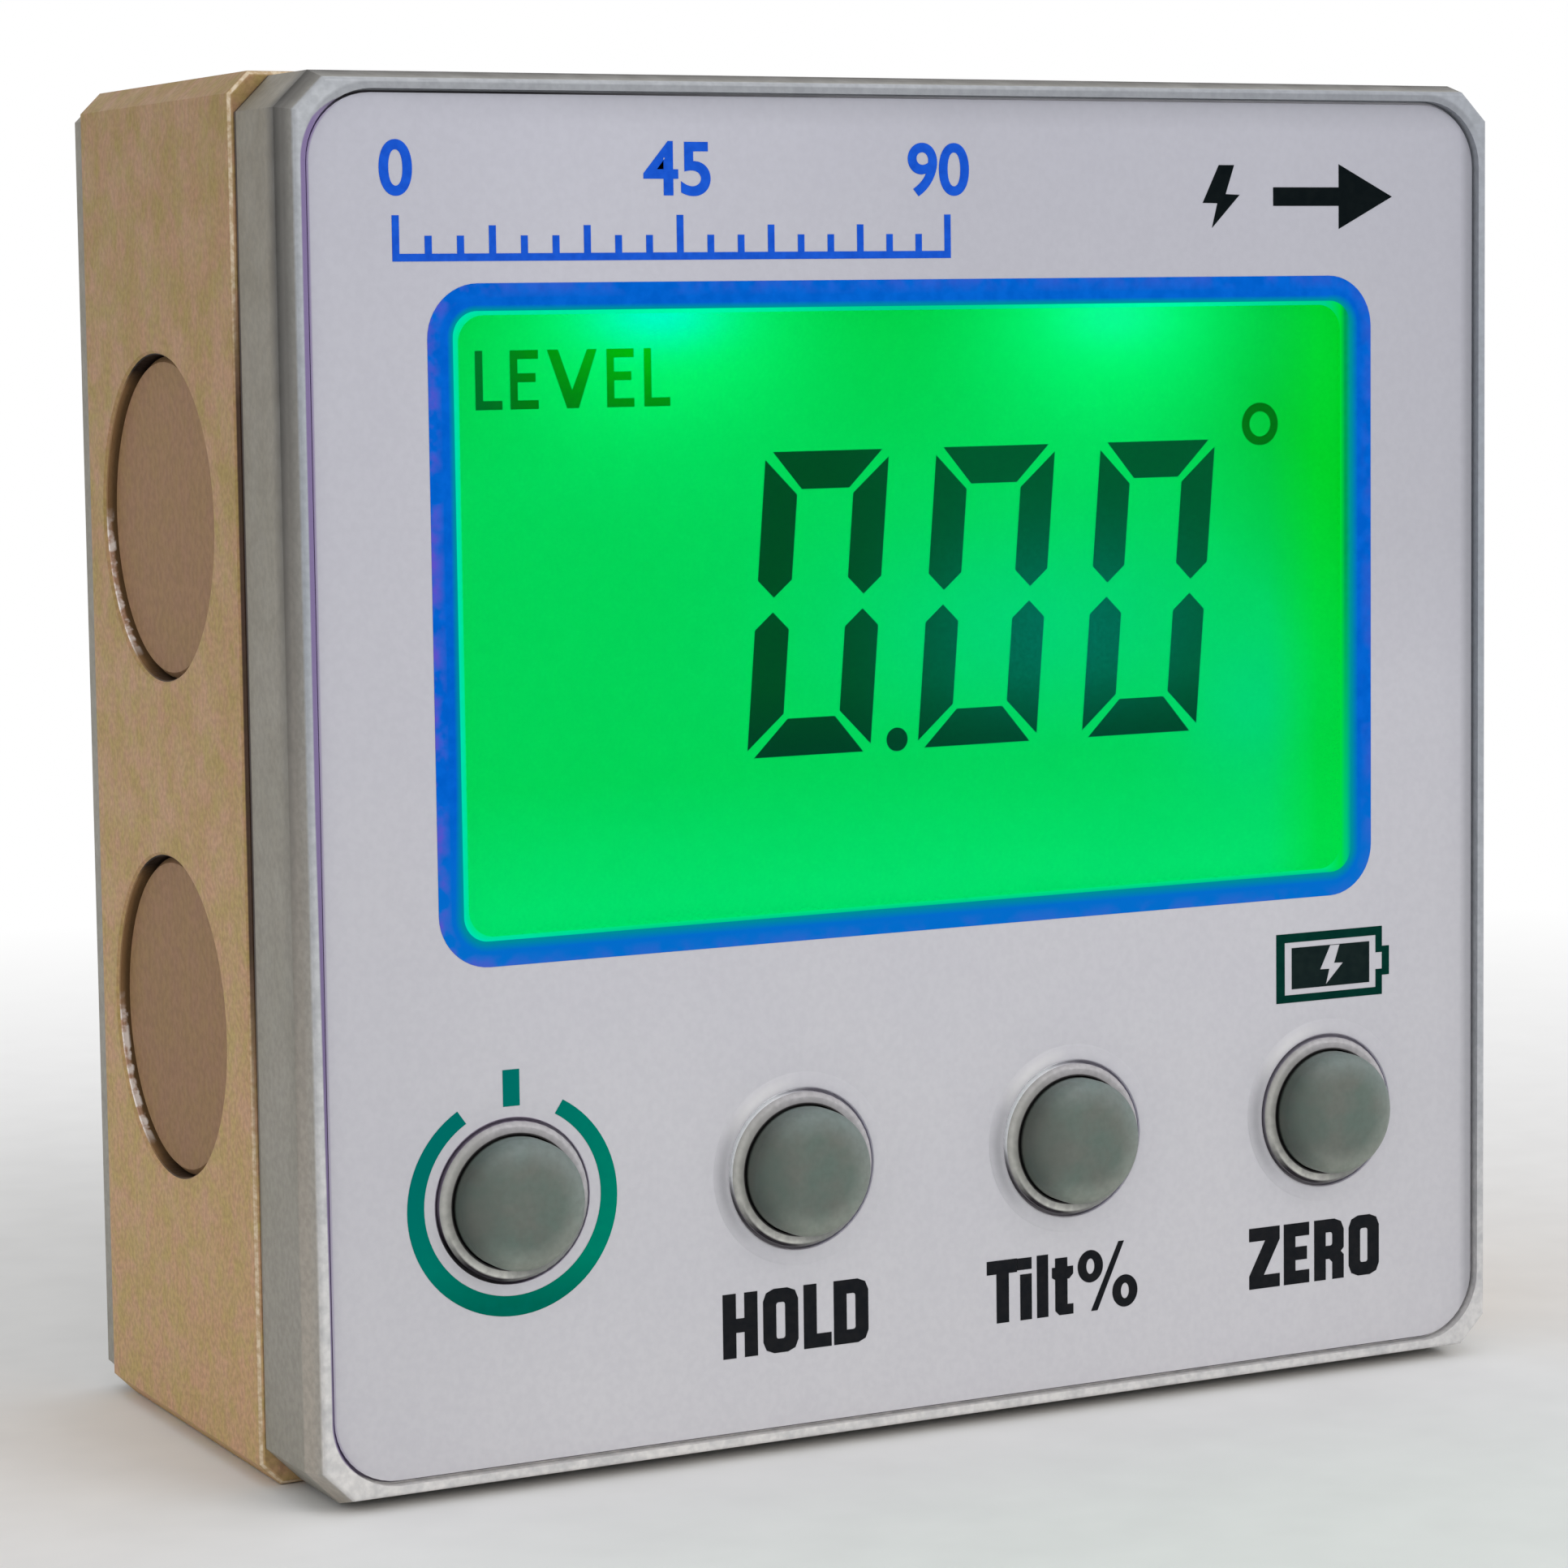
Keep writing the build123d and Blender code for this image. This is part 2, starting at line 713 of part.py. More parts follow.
def build_parts():
    """Every node of the instrument, by name."""
    parts = {
        "body_frame": body_frame(),
        "front_cover": front_cover(),
        "face_label": face_label(),
        "display_window": display_window(),
        "lcd_panel": lcd_panel(),
        "backlight_tray": backlight_tray(),
        "light_guide": light_guide(),
        "backlight_lamps": backlight_lamps(),
        "contact_strip": contact_strip(),
        "main_board": main_board(),
        "board_screws": [board_screw(p) for p in board_screw_places],
        "tilt_sensor": board_part(tilt_sensor_size),
        "microcontroller": microcontroller(),
        "charge_controller": board_part(charger_size),
        "crystal": crystal(),
        "capacitors": capacitors(),
        "charging_socket": charging_socket(),
        "socket_tongue": socket_tongue(),
        "battery": battery(),
        "battery_pad": battery_pad(),
        "battery_header": battery_header(),
        "battery_leads": battery_leads(),
        "front_gasket": gasket(front_cover_back, frame_front),
        "rear_gasket": gasket(frame_back, back_cover_front),
        "back_cover": back_cover(),
        "case_screws": [case_screw(p) for p in case_screw_places],
    }
    for name, place in zip(button_names, button_places):
        parts[f"{name}_button"] = button_cap(place)
        parts[f"{name}_plunger"] = switch_plunger(place)
        parts[f"{name}_switch"] = tact_switch(place)
    for spot, name in magnet_spots():
        parts[f"magnet_{name}"] = magnet(spot)
    return parts


def write_parts():
    """Write one STEP file per node."""
    os.makedirs("parts", exist_ok=True)
    for name, shape in build_parts().items():
        if isinstance(shape, list):
            shape = Compound(children=shape)
        export_step(shape, f"parts/{name}.step")


write_parts()
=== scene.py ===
import json
import math

import bmesh
import bpy
from mathutils import Matrix, Vector


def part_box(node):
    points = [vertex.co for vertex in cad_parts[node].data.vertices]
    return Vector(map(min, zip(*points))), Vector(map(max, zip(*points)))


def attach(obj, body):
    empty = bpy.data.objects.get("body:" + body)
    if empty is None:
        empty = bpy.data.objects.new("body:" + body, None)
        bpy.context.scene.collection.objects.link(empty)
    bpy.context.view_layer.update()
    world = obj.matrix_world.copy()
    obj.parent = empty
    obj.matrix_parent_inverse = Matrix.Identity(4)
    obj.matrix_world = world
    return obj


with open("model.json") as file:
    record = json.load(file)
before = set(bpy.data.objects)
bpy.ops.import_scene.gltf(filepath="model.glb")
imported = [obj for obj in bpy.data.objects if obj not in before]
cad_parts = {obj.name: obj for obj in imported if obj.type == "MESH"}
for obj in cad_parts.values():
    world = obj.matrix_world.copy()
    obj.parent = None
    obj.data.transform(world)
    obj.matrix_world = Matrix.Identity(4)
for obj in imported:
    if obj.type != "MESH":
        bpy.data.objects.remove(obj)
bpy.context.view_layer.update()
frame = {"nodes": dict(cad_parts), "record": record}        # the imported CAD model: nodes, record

# Lengths are in metres, except where a comment or a docstring says mm.
MM = 0.001
BODY = "instrument"


def key_middle(node):
    """Where a key's axis is, across and up."""
    low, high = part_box(node)
    return (low.x + high.x) / 2, (low.z + high.z) / 2


# Places that the CAD model gives.
frame_low, frame_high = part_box("body_frame")
FACE_MIDDLE_Z = (frame_low.z + frame_high.z) / 2
COVER_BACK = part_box("front_cover")[1].y
LABEL_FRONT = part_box("face_label")[0].y
PANEL_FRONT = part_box("lcd_panel")[0].y
FIRST_KEY_X, KEY_Z = key_middle("power_button")
LAST_KEY_X = key_middle("zero_button")[0]
KEY_PITCH = (LAST_KEY_X - FIRST_KEY_X) / 3

# Radii round a key's axis, in mm.
KEY_BORE = 2.75
COLLAR_EDGE = 3.27
LABEL_HOLE = 3.39

# The glowing strip of painted light round the window's opening, which stands for the pane's lit edge, outside and
# inside, in mm from the middle of the face.
PANE_OUTSIDE = dict(x0=-21.52, x1=20.98, z0=-6.1, z1=18.99, radius=1.05)
PANE_INSIDE = dict(x0=-21.3, x1=20.46, z0=-5.92, z1=18.82, radius=1.1)

# The label's outline, in mm from the middle of the face.
LABEL_BOX = dict(x0=-27.5, x1=27.5, z0=-27.5, z1=27.5, radius=2.7)

# How far behind the label's front the crease of the front cover's wall lies.
CREASE_DEPTH = 1.1 * MM


def linear(red, green, blue):
    """A tone as read off a screen, 0 to 255, turned into the linear numbers that shaders take."""
    numbers = []
    for value in (red, green, blue):
        share = value / 255
        numbers.append(share / 12.92 if share <= 0.04045 else ((share + 0.055) / 1.055) ** 2.4)
    return (*numbers, 1.0)


class Finish:
    """One Principled material. What varies in it comes from part coordinates.

    A share is a value from 0 to 1. A tone is (red, green, blue) as read off a screen, 0 to 255.
    A spot is the sideways, upward and radial distance from a middle.
    """

    def __init__(self, name, roughness=0.5, metallic=0.0, specular=0.5):
        self.name = name
        self.material = bpy.data.materials.new(name)
        self.material.use_nodes = True
        self.tree = self.material.node_tree
        self.shader = self.tree.nodes["Principled BSDF"]
        looks = {"Roughness": roughness, "Metallic": metallic, "Specular IOR Level": specular}
        self.feed(self.shader, looks)
        self.place = self.new("TexCoord").outputs["Object"]
        self.axes = self.new("SeparateXYZ")
        self.feed(self.axes, {0: self.place})

    def new(self, kind):
        return self.tree.nodes.new("ShaderNode" + kind)

    def feed(self, node, inputs):
        """Sets inputs of a node to numbers or tones, or joins them to other nodes' outputs."""
        for name, value in inputs.items():
            if isinstance(value, bpy.types.NodeSocket):
                self.tree.links.new(value, node.inputs[name])
            elif isinstance(value, tuple):
                node.inputs[name].default_value = linear(*value)
            else:
                node.inputs[name].default_value = value

    def maths(self, operation, first, second=0.0, third=0.0):
        """What a Math node makes of up to three values."""
        node = self.new("Math")
        node.operation = operation
        self.feed(node, {0: first, 1: second, 2: third})
        return node.outputs[0]

    def plus(self, first, second):
        return self.maths("ADD", first, second)

    def minus(self, first, second):
        return self.maths("SUBTRACT", first, second)

    def absolute(self, value):
        return self.maths("ABSOLUTE", value)

    def both(self, *shares):
        """The product of several values."""
        product = shares[0]
        for share in shares[1:]:
            product = self.maths("MULTIPLY", product, share)
        return product

    def most(self, *shares):
        """The largest of several values."""
        largest = shares[0]
        for share in shares[1:]:
            largest = self.maths("MAXIMUM", largest, share)
        return largest

    def rest(self, *shares):
        """What the product of several shares leaves of 1."""
        return self.minus(1.0, self.both(*shares))

    def under(self, value, limit):
        """1 where the value is under the limit, and 0 elsewhere."""
        return self.maths("LESS_THAN", value, limit)

    def over(self, value, limit):
        """1 where the value is over the limit, and 0 elsewhere."""
        return self.maths("GREATER_THAN", value, limit)

    def length(self, across, up):
        return self.maths("SQRT", self.plus(self.maths("POWER", across, 2.0), self.maths("POWER", up, 2.0)))

    def repeated(self, value, middle, pitch):
        """How far a coordinate is from the nearest of evenly spaced places, one of which is at middle."""
        shifted = self.minus(value, middle - pitch / 2)
        return self.minus(self.maths("WRAP", shifted, pitch, 0.0), pitch / 2)

    def along(self, axis):
        return self.axes.outputs[axis]

    def height(self):
        """How far up from the middle of the face."""
        return self.minus(self.along("Z"), FACE_MIDDLE_Z)

    def ramp(self, value, start, end):
        """0 where the value is at start, 1 where it is at end, and even between them."""
        node = self.new("MapRange")
        self.feed(node, {"Value": value, "From Min": start, "From Max": end})
        return node.outputs["Result"]

    def fade(self, value, start, end):
        """A ramp whose start and end are in mm."""
        return self.ramp(value, start * MM, end * MM)

    def sideways(self, start, end):
        """A ramp across the face, in mm from its middle."""
        return self.fade(self.along("X"), start, end)

    def upwards(self, start, end):
        """A ramp up the face, in mm from its middle."""
        return self.ramp(self.along("Z"), FACE_MIDDLE_Z + start * MM, FACE_MIDDLE_Z + end * MM)

    def cloud(self, size, detail=2.0, low=0.35, high=0.65):
        """A cloudy share whose blobs are about size mm across. Low and high cut its ends off."""
        node = self.new("TexNoise")
        self.feed(node, {"Vector": self.place, "Scale": 1 / (size * MM), "Detail": detail})
        return self.ramp(node.outputs["Fac"], low, high)

    def pool(self, centre, size):
        """1 at a point of the face, falling smoothly to 0 over about that width and height, all in mm."""
        across = self.minus(self.along("X"), centre[0] * MM)
        up = self.minus(self.along("Z"), FACE_MIDDLE_Z + centre[1] * MM)
        across = self.maths("POWER", self.maths("DIVIDE", across, size[0] * MM), 2.0)
        up = self.maths("POWER", self.maths("DIVIDE", up, size[1] * MM), 2.0)
        return self.maths("POWER", math.e ** -1, self.plus(across, up))

    def from_key(self):
        """The spot as seen from the axis of the nearest key."""
        across = self.repeated(self.along("X"), FIRST_KEY_X, KEY_PITCH)
        up = self.minus(self.along("Z"), KEY_Z)
        return across, up, self.length(across, up)

    def side(self, spot, aim, start, end):
        """A ramp round a middle: its value is 1 in the direction of the aim and -1 on the far side."""
        across, up, distance = spot
        reach = math.hypot(*aim)
        ahead = self.plus(self.both(across, aim[0] / reach), self.both(up, aim[1] / reach))
        return self.ramp(self.maths("DIVIDE", ahead, distance), start, end)

    def beyond(self, box):
        """How far outside a rounded box of the face a place lies. Well inside the box it is level."""
        outward = []
        for axis, low, high, centre in (("X", box["x0"], box["x1"], 0.0),
                                        ("Z", box["z0"], box["z1"], FACE_MIDDLE_Z)):
            middle = (low + high) / 2 * MM + centre
            core = (high - low) / 2 - box["radius"]
            away = self.absolute(self.minus(self.along(axis), middle))
            outward.append(self.most(self.minus(away, core * MM), 0.0))
        return self.minus(self.length(*outward), box["radius"] * MM)

    def mix(self, share, first, second):
        """The first tone where the share is 0, and the second where it is 1."""
        node = self.new("Mix")
        node.data_type = "RGBA"
        self.feed(node, {0: share, 6: first, 7: second})
        return node.outputs[2]

    def layers(self, base, *layers):
        """Lays tones over a base in turn. Each comes with shares, whose product says how far it covers."""
        for tone, *shares in layers:
            base = self.mix(self.both(*shares), base, tone)
        return base

    def paint(self, base, *layers):
        """Gives the surface its own colour, in layers."""
        self.feed(self.shader, {"Base Color": self.layers(base, *layers)})

    def glow(self, base, *layers):
        """Gives the surface light of its own, in layers."""
        self.feed(self.shader, {"Emission Color": self.layers(base, *layers), "Emission Strength": 1.0})

    def rough(self, low, high, size):
        """Roughness that drifts between two values, in clouds of that many mm."""
        span = self.both(self.cloud(size), high - low)
        self.feed(self.shader, {"Roughness": self.plus(span, low)})

    def bump(self, height, depth, strength=0.5):
        """Unevenness of the surface, whose height of 0 to 1 stands for depth mm."""
        node = self.new("Bump")
        self.feed(node, {"Strength": strength, "Distance": depth * MM, "Height": height})
        self.feed(self.shader, {"Normal": node.outputs["Normal"]})


def speckled(name, dark, light, size, roughness, metallic=0.0, specular=0.5, depth=0.01):
    """A plain finish: two near tones in a speckle of size mm, with a bump of depth mm to match."""
    finish = Finish(name, roughness, metallic, specular)
    speckle = finish.cloud(size, 2.0, 0.3, 0.7)
    finish.paint(finish.mix(speckle, dark, light))
    finish.bump(speckle, depth)
    return finish


def pocket_wall(finish, body, aside, depth):
    """The walls of the pockets in one pair of sides: painted shade, darker by the magnet and at the top and
    bottom, and painted highlights low at the back.
    """
    magnet_low, magnet_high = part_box("magnet_left_upper")
    pitch = (magnet_low.z + magnet_high.z) - 2 * FACE_MIDDLE_Z
    radius = (magnet_high.z - magnet_low.z) / 2
    pair_reach = pitch / 2 + radius + 0.2 * MM
    away = finish.minus(finish.along("Y"), (magnet_low.y + magnet_high.y) / 2)
    up = finish.repeated(aside, pitch / 2, pitch)
    wall = finish.both(finish.under(finish.length(away, up), radius + 0.12 * MM),
                       finish.under(finish.absolute(aside), pair_reach),
                       finish.over(depth, 0.03 * MM),
                       finish.under(depth, 2.0 * MM))
    # Painted highlights: glints in clouds, low at the back of each wall.
    glint_noise = finish.cloud(0.45, 4.0, 0.4, 0.56)
    ragged = finish.plus(depth, finish.both(glint_noise, -0.1 * MM))
    low_back = finish.side((away, up, radius), (0.87, -0.5), 0.86, 0.95)
    highlight_tone = finish.mix(glint_noise, (196, 158, 132), (255, 246, 240))
    up_share = finish.plus(finish.maths("DIVIDE", up, radius), 0.06)
    # Painted shade: darker deeper in by the magnet, and near black at the top and bottom of each pocket.
    shade = finish.layers(
        finish.mix(finish.fade(depth, 0.2, 0.42), (150, 118, 82), (104, 80, 52)),
        (highlight_tone, low_back, finish.fade(ragged, 0.36, 0.26)),
        ((34, 22, 16), finish.ramp(finish.absolute(up_share), 0.86, 0.97)))
    return finish.mix(wall, body, shade)


def anodised_frame():
    """Blasted champagne anodising: speckle, faint pink and yellow clouds, paler towards the bottom as painted
    light, a paler front edge that is a painted highlight at its ends with a painted shadow along its middle, and
    the pockets' painted light and shade.
    """
    finish = Finish("anodised_frame", roughness=0.55, metallic=0.1, specular=0.2)
    cloud = finish.cloud(1.0, 4.0)
    fleck = finish.cloud(0.24, 3.0, 0.36, 0.64)
    low = finish.mix(cloud, (211, 168, 132), (200, 174, 114))
    high = finish.mix(cloud, (176, 138, 105), (163, 141, 86))
    highlight_tone = finish.mix(fleck, (244, 228, 202), (206, 178, 140))
    past_front = finish.minus(finish.along("Y"), frame_low.y)
    edge = finish.both(finish.fade(past_front, 0.2, 0.16), finish.fade(past_front, 0.04, 0.08))
    part_way = finish.both(finish.upwards(-16.6, -6.6), finish.upwards(21.4, 15.4))
    # Painted light and shade: the frame paler towards the bottom, a painted highlight on the front edge at its
    # ends, and a painted shadow at the front of that edge between them.
    body = finish.layers(
        finish.mix(finish.ramp(finish.along("Z"), frame_low.z, frame_high.z), low, high),
        ((116, 88, 58), fleck, 0.3),
        (highlight_tone, edge, finish.rest(part_way), 0.85),
        ((56, 38, 34), finish.fade(past_front, 0.14, 0.1), part_way, 0.92))
    from_side = finish.minus(frame_high.x, finish.absolute(finish.along("X")))
    from_end = finish.minus(frame_high.x, finish.absolute(finish.height()))
    body = pocket_wall(finish, body, finish.height(), from_side)
    finish.paint(pocket_wall(finish, body, finish.along("X"), from_end))
    finish.rough(0.5, 0.62, 2.0)
    finish.bump(fleck, 0.02)
    return finish


def past_key(finish, number):
    """1 to the right of the first key, or of the second or third one, counted from the left."""
    return finish.over(finish.along("X"), FIRST_KEY_X + (number - 0.5) * KEY_PITCH)


def ring_shade(finish, spot):
    """Painted light and shade in the thin gap round a collar: black shade to the lower left, a pale painted
    highlight at the upper left of the middle keys, and paler to the right.
    """
    with_lip = past_key(finish, 1)
    middle_key = finish.minus(with_lip, past_key(finish, 3))
    pale = finish.mix(with_lip, (166, 162, 174), (182, 180, 192))
    dark = finish.mix(with_lip, (30, 24, 32), (150, 146, 152))
    return finish.layers(
        finish.mix(with_lip, (126, 116, 134), (154, 150, 162)),
        ((252, 253, 255), finish.side(spot, (-0.85, 0.53), 0.35, 0.8), middle_key),
        (pale, finish.side(spot, (1.0, -0.1), 0.2, 0.8)),
        (dark, finish.side(spot, (-0.6, -0.8), 0.6, 0.92)))


def collar_white(finish, spot, fleck):
    """The button collars, near white, with painted light and shade: palest underneath, painted shade to the left,
    a dark painted shade at the bore and to the lower left of the outer edge, and a painted shadow of the key to
    the lower right.
    """
    distance = spot[2]
    sunk = finish.over(finish.along("Y"), LABEL_FRONT - 0.12 * MM)
    gap = finish.over(distance, (COLLAR_EDGE - 0.03) * MM)
    outer = finish.fade(distance, COLLAR_EDGE - 0.19, COLLAR_EDGE - 0.12)
    return finish.layers(
        finish.mix(finish.side(spot, (-0.35, -0.94), -0.4, 0.9), (186, 183, 186), (232, 231, 224)),
        ((146, 144, 146), fleck, 0.4),
        ((116, 118, 116), finish.side(spot, (0.66, -0.75), 0.62, 0.9), 0.85),
        ((162, 162, 154), finish.side(spot, (-0.98, 0.2), 0.4, 0.95), 0.6),
        ((92, 88, 88), finish.fade(distance, KEY_BORE + 0.3, KEY_BORE + 0.06), 0.35),
        ((30, 24, 32), outer, finish.side(spot, (-0.45, -0.89), 0.7, 0.97)),
        (ring_shade(finish, spot), sunk, gap),
        ((30, 27, 28), finish.fade(distance, KEY_BORE + 0.08, KEY_BORE + 0.04)))


def rim_grey(finish, fleck):
    """The raised rim's grey paint, with painted light and shade: palest at the foot, and darker to the right."""
    above_foot = finish.rest(finish.upwards(-14.6, -25.6), 0.6)
    return finish.layers(
        finish.mix(finish.upwards(-26.6, 5.4), (228, 225, 222), (172, 177, 184)),
        ((186, 189, 194), finish.upwards(15.4, 26.4)),
        ((136, 142, 154), finish.sideways(-10.0, 27.0), 0.45, above_foot),
        ((150, 154, 160), finish.cloud(0.9, 3.0, 0.45, 0.65), 0.25),
        ((120, 122, 128), fleck, 0.2))


def rim_gap_shade(finish, paint, outside):
    """The painted shade in the gap round the label: wide and plum at the left, black at the upper left, else thin
    and grey; and a soft painted shade on the rim along the top.
    """
    left = finish.sideways(-26.0, -27.3)
    top = finish.upwards(25.8, 27.2)
    lower_half = finish.upwards(0.0, -20.0)
    # The gap's painted shade, side by side.
    line = finish.layers(
        finish.mix(lower_half, (206, 205, 212), (148, 142, 152)),
        ((74, 66, 80), finish.upwards(-26.4, -27.4)),
        (finish.mix(finish.sideways(-18.0, 2.0), (30, 24, 32), (216, 214, 220)), top),
        (finish.mix(lower_half, (126, 110, 152), (112, 98, 132)), left))
    wide = finish.both(left, finish.rest(lower_half, 0.6))
    reach = finish.plus(finish.both(wide, 0.25 * MM), 0.1 * MM)
    return finish.layers(
        paint,
        ((96, 98, 104), top, finish.fade(outside, 0.5, 0.38), 0.4),
        (line, finish.fade(finish.minus(outside, reach), 0.03, -0.03)))


def cover_wall(finish, fleck, past_label):
    """The covers' grey, with painted light and shade: the wall and the band in front of the crease darker higher
    up, and a painted shade in the crease of the front cover's wall, dark at the top and fading downwards.
    """
    cloud = finish.cloud(3.0)
    upper = finish.mix(cloud, (133, 127, 113), (137, 131, 118))
    lower = finish.mix(cloud, (152, 149, 138), (158, 154, 145))
    rise = finish.upwards(-22.6, 17.4)
    from_crease = finish.minus(past_label, CREASE_DEPTH)
    crease_shade = finish.both(finish.fade(from_crease, 0.95, 0.05), finish.fade(from_crease, -0.45, -0.05))
    band = finish.layers(
        finish.mix(rise, (180, 172, 161), (104, 102, 98)),
        ((168, 166, 160), finish.fade(past_label, 0.5, 0.0), 0.5))
    by_joint = finish.ramp(finish.along("Y"), COVER_BACK - 0.2 * MM, COVER_BACK - 0.14 * MM)
    front_half = finish.under(finish.along("Y"), 0.0)
    # Painted light and shade: darker higher up the wall and the band, and painted shade in the crease.
    return finish.layers(
        finish.mix(finish.upwards(-20.6, 28.6), lower, upper),
        (band, finish.fade(from_crease, 0.06, -0.1)),
        ((50, 48, 46), crease_shade, finish.maths("POWER", rise, 1.5), 0.85),
        ((92, 90, 86), fleck, 0.22),
        ((44, 32, 34), by_joint, front_half, finish.upwards(-24.6, -4.6), 0.9))


def cover_grey():
    """Satin grey paint on the covers, with a paler rim and near-white button collars, all with painted light and
    shade, and painted shade in the gap round the label.
    """
    finish = Finish("cover_grey", roughness=0.5, metallic=0.1, specular=0.3)
    fleck = finish.cloud(0.3, 2.0, 0.36, 0.64)
    spot = finish.from_key()
    past_label = finish.minus(finish.along("Y"), LABEL_FRONT)
    outside = finish.beyond(LABEL_BOX)
    near_face = finish.under(past_label, 1.0 * MM)
    rim = finish.most(finish.fade(past_label, 0.0, -0.16), finish.under(outside, 0.3 * MM))
    by_key = finish.under(spot[2], 4.2 * MM)
    finish.paint(
        cover_wall(finish, fleck, past_label),
        (rim_gap_shade(finish, rim_grey(finish, fleck), outside), rim, near_face),
        (collar_white(finish, spot, fleck), by_key, near_face))
    finish.rough(0.42, 0.55, 1.5)
    finish.bump(fleck, 0.008)
    return finish


def lip_painted_light(finish, spot, film):
    """Painted light and shade on the raised lips of the film: painted shade on the left flank, a faint painted
    shade below and a painted highlight at the upper left.
    """
    distance = spot[2]
    by_lip = past_key(finish, 1)
    band = finish.both(finish.fade(distance, LABEL_HOLE - 0.1, LABEL_HOLE + 0.25),
                       finish.fade(distance, LABEL_HOLE + 0.75, LABEL_HOLE + 0.35), by_lip)
    left = finish.both(finish.side(spot, (-1.0, -0.03), 0.6, 1.0), band, 0.5)
    below = finish.both(finish.side(spot, (-0.1, -1.0), 0.6, 1.0),
                        finish.fade(distance, LABEL_HOLE + 2.0, LABEL_HOLE + 0.6), by_lip, 0.03)
    return finish.layers(
        film,
        ((112, 112, 116), finish.most(left, below)),
        ((240, 238, 234), finish.side(spot, (-0.56, 0.83), 0.84, 1.0), band, 0.3))


def label_print():
    """Satin printed film, pale lilac that turns a little warmer to the lower right, with painted shade along its
    edges, a plum painted shade in its left margin, the lips' painted light and shade, and the gaps' painted shade
    at the key holes.
    """
    finish = Finish("label_print", roughness=0.48)
    grain = finish.cloud(0.3, 3.0)
    spot = finish.from_key()
    lower = finish.upwards(27.5, -27.5)
    # Painted shade along the right edge and the upper left edge.
    edge_shade = finish.most(finish.both(finish.sideways(25.6, 27.3), 0.05),
                        finish.both(finish.upwards(26.3, 27.3), finish.sideways(-26.0, -14.0), 0.18),
                        finish.both(finish.sideways(26.8, 27.25), 0.4))
    film = finish.layers(
        finish.mix(lower, (192, 192, 203), (207, 205, 209)),
        ((184, 182, 196), finish.cloud(6.0), 0.1),
        ((158, 156, 168), grain, 0.1),
        ((112, 112, 120), finish.upwards(2.0, 9.0), finish.sideways(-14.0, 2.0), 0.13),
        ((96, 98, 104), edge_shade),
        ((100, 100, 112), finish.fade(finish.absolute(finish.along("X")), 17.0, 25.0), 0.07))
    # A plum painted shade in the label's left margin.
    plum = finish.mix(lower, (132, 116, 158), (176, 170, 186))
    margin_shade = finish.both(finish.fade(finish.beyond(LABEL_BOX), -0.12, -0.04), finish.sideways(-26.0, -27.2))
    cut_edge = finish.under(spot[2], (LABEL_HOLE + 0.025) * MM)
    finish.paint(
        lip_painted_light(finish, spot, film),
        (plum, margin_shade),
        (ring_shade(finish, spot), cut_edge))
    finish.rough(0.42, 0.55, 2.5)
    finish.bump(grain, 0.003)
    return finish


def window_clear():
    """The clear pane over the display."""
    finish = Finish("window_clear", roughness=0.03)
    finish.feed(finish.shader, {"Transmission Weight": 1.0, "IOR": 1.05})
    haze = finish.cloud(5.0, 2.0, 0.3, 0.7)
    finish.paint(finish.mix(haze, (250, 255, 252), (245, 253, 250)))
    finish.bump(haze, 0.004, strength=0.2)
    return finish


# The display's light: lamps and blue pools, in mm from the middle of the face.
LAMP_SPOTS = ((-11.7, 18.9), (9.9, 18.5))
LAMP_TONES = ((0, 255, 204), (6, 255, 150))
POOLS = (((6.0, 5.4), (10.0, 4.2)), ((16.8, 1.4), (4.0, 3.6)))


def display_glass():
    """The lit green field: two lamps at the top edge, a little blue to the lower right, darker ends."""
    finish = Finish("display_glass", roughness=0.35, specular=0.0)
    grain = finish.cloud(0.3, 3.0, 0.3, 0.7)
    pools = [((0, 213, 116), finish.pool(centre, size)) for centre, size in POOLS]
    lamps = []
    for centre, tone in zip(LAMP_SPOTS, LAMP_TONES):
        lamps.append(((0, 255, 116), finish.pool(centre, (6.8, 4.9))))
        lamps.append((tone, finish.pool(centre, (2.8, 1.4))))
    corner = finish.fade(finish.plus(finish.along("X"), finish.height()), 23.5, 32.5)
    field = finish.layers(
        finish.mix(finish.upwards(-0.2, -5.2), (0, 212, 86), (0, 224, 108)),
        *pools,
        ((0, 196, 44), finish.upwards(12.0, 19.5), 0.75),
        ((0, 186, 22), corner, 0.8),
        ((0, 220, 32), finish.sideways(17.8, 20.4), 0.6),
        *lamps,
        ((0, 120, 40), grain, 0.05))
    front = finish.under(finish.along("Y"), PANEL_FRONT + 0.02 * MM)
    finish.glow(finish.mix(front, (0, 0, 0), field))
    finish.paint(finish.mix(grain, (0, 22, 8), (0, 16, 6)))
    return finish


def segment_dark():
    """The switched-on segments of the display, which let a little green light through."""
    finish = Finish("segment_dark", roughness=0.4, specular=0.0)
    grain = finish.cloud(0.15, 2.0, 0.3, 0.7)
    finish.glow(
        finish.mix(finish.sideways(-4.0, 3.0), (0, 76, 31), (0, 90, 44)),
        ((0, 114, 92), finish.pool((7.5, 5.0), (6.5, 3.8))),
        ((0, 50, 36), finish.upwards(3.2, 0.6), 0.6),
        ((0, 54, 30), grain, 0.35))
    finish.paint(finish.mix(grain, (1, 10, 6), (0, 6, 4)))
    return finish


def segment_light():
    """Thin segments, which look paler than the digits, most of all near the lamp."""
    finish = Finish("segment_light", roughness=0.4, specular=0.0)
    grain = finish.cloud(0.15, 2.0, 0.3, 0.7)
    finish.glow(
        finish.mix(finish.sideways(-20.0, -17.5), (0, 100, 36), (0, 112, 8)),
        ((0, 212, 0), finish.pool(LAMP_SPOTS[0], (5.2, 3.2))),
        ((0, 84, 30), grain, 0.2))
    finish.paint(finish.mix(grain, (0, 14, 4), (0, 10, 3)))
    return finish


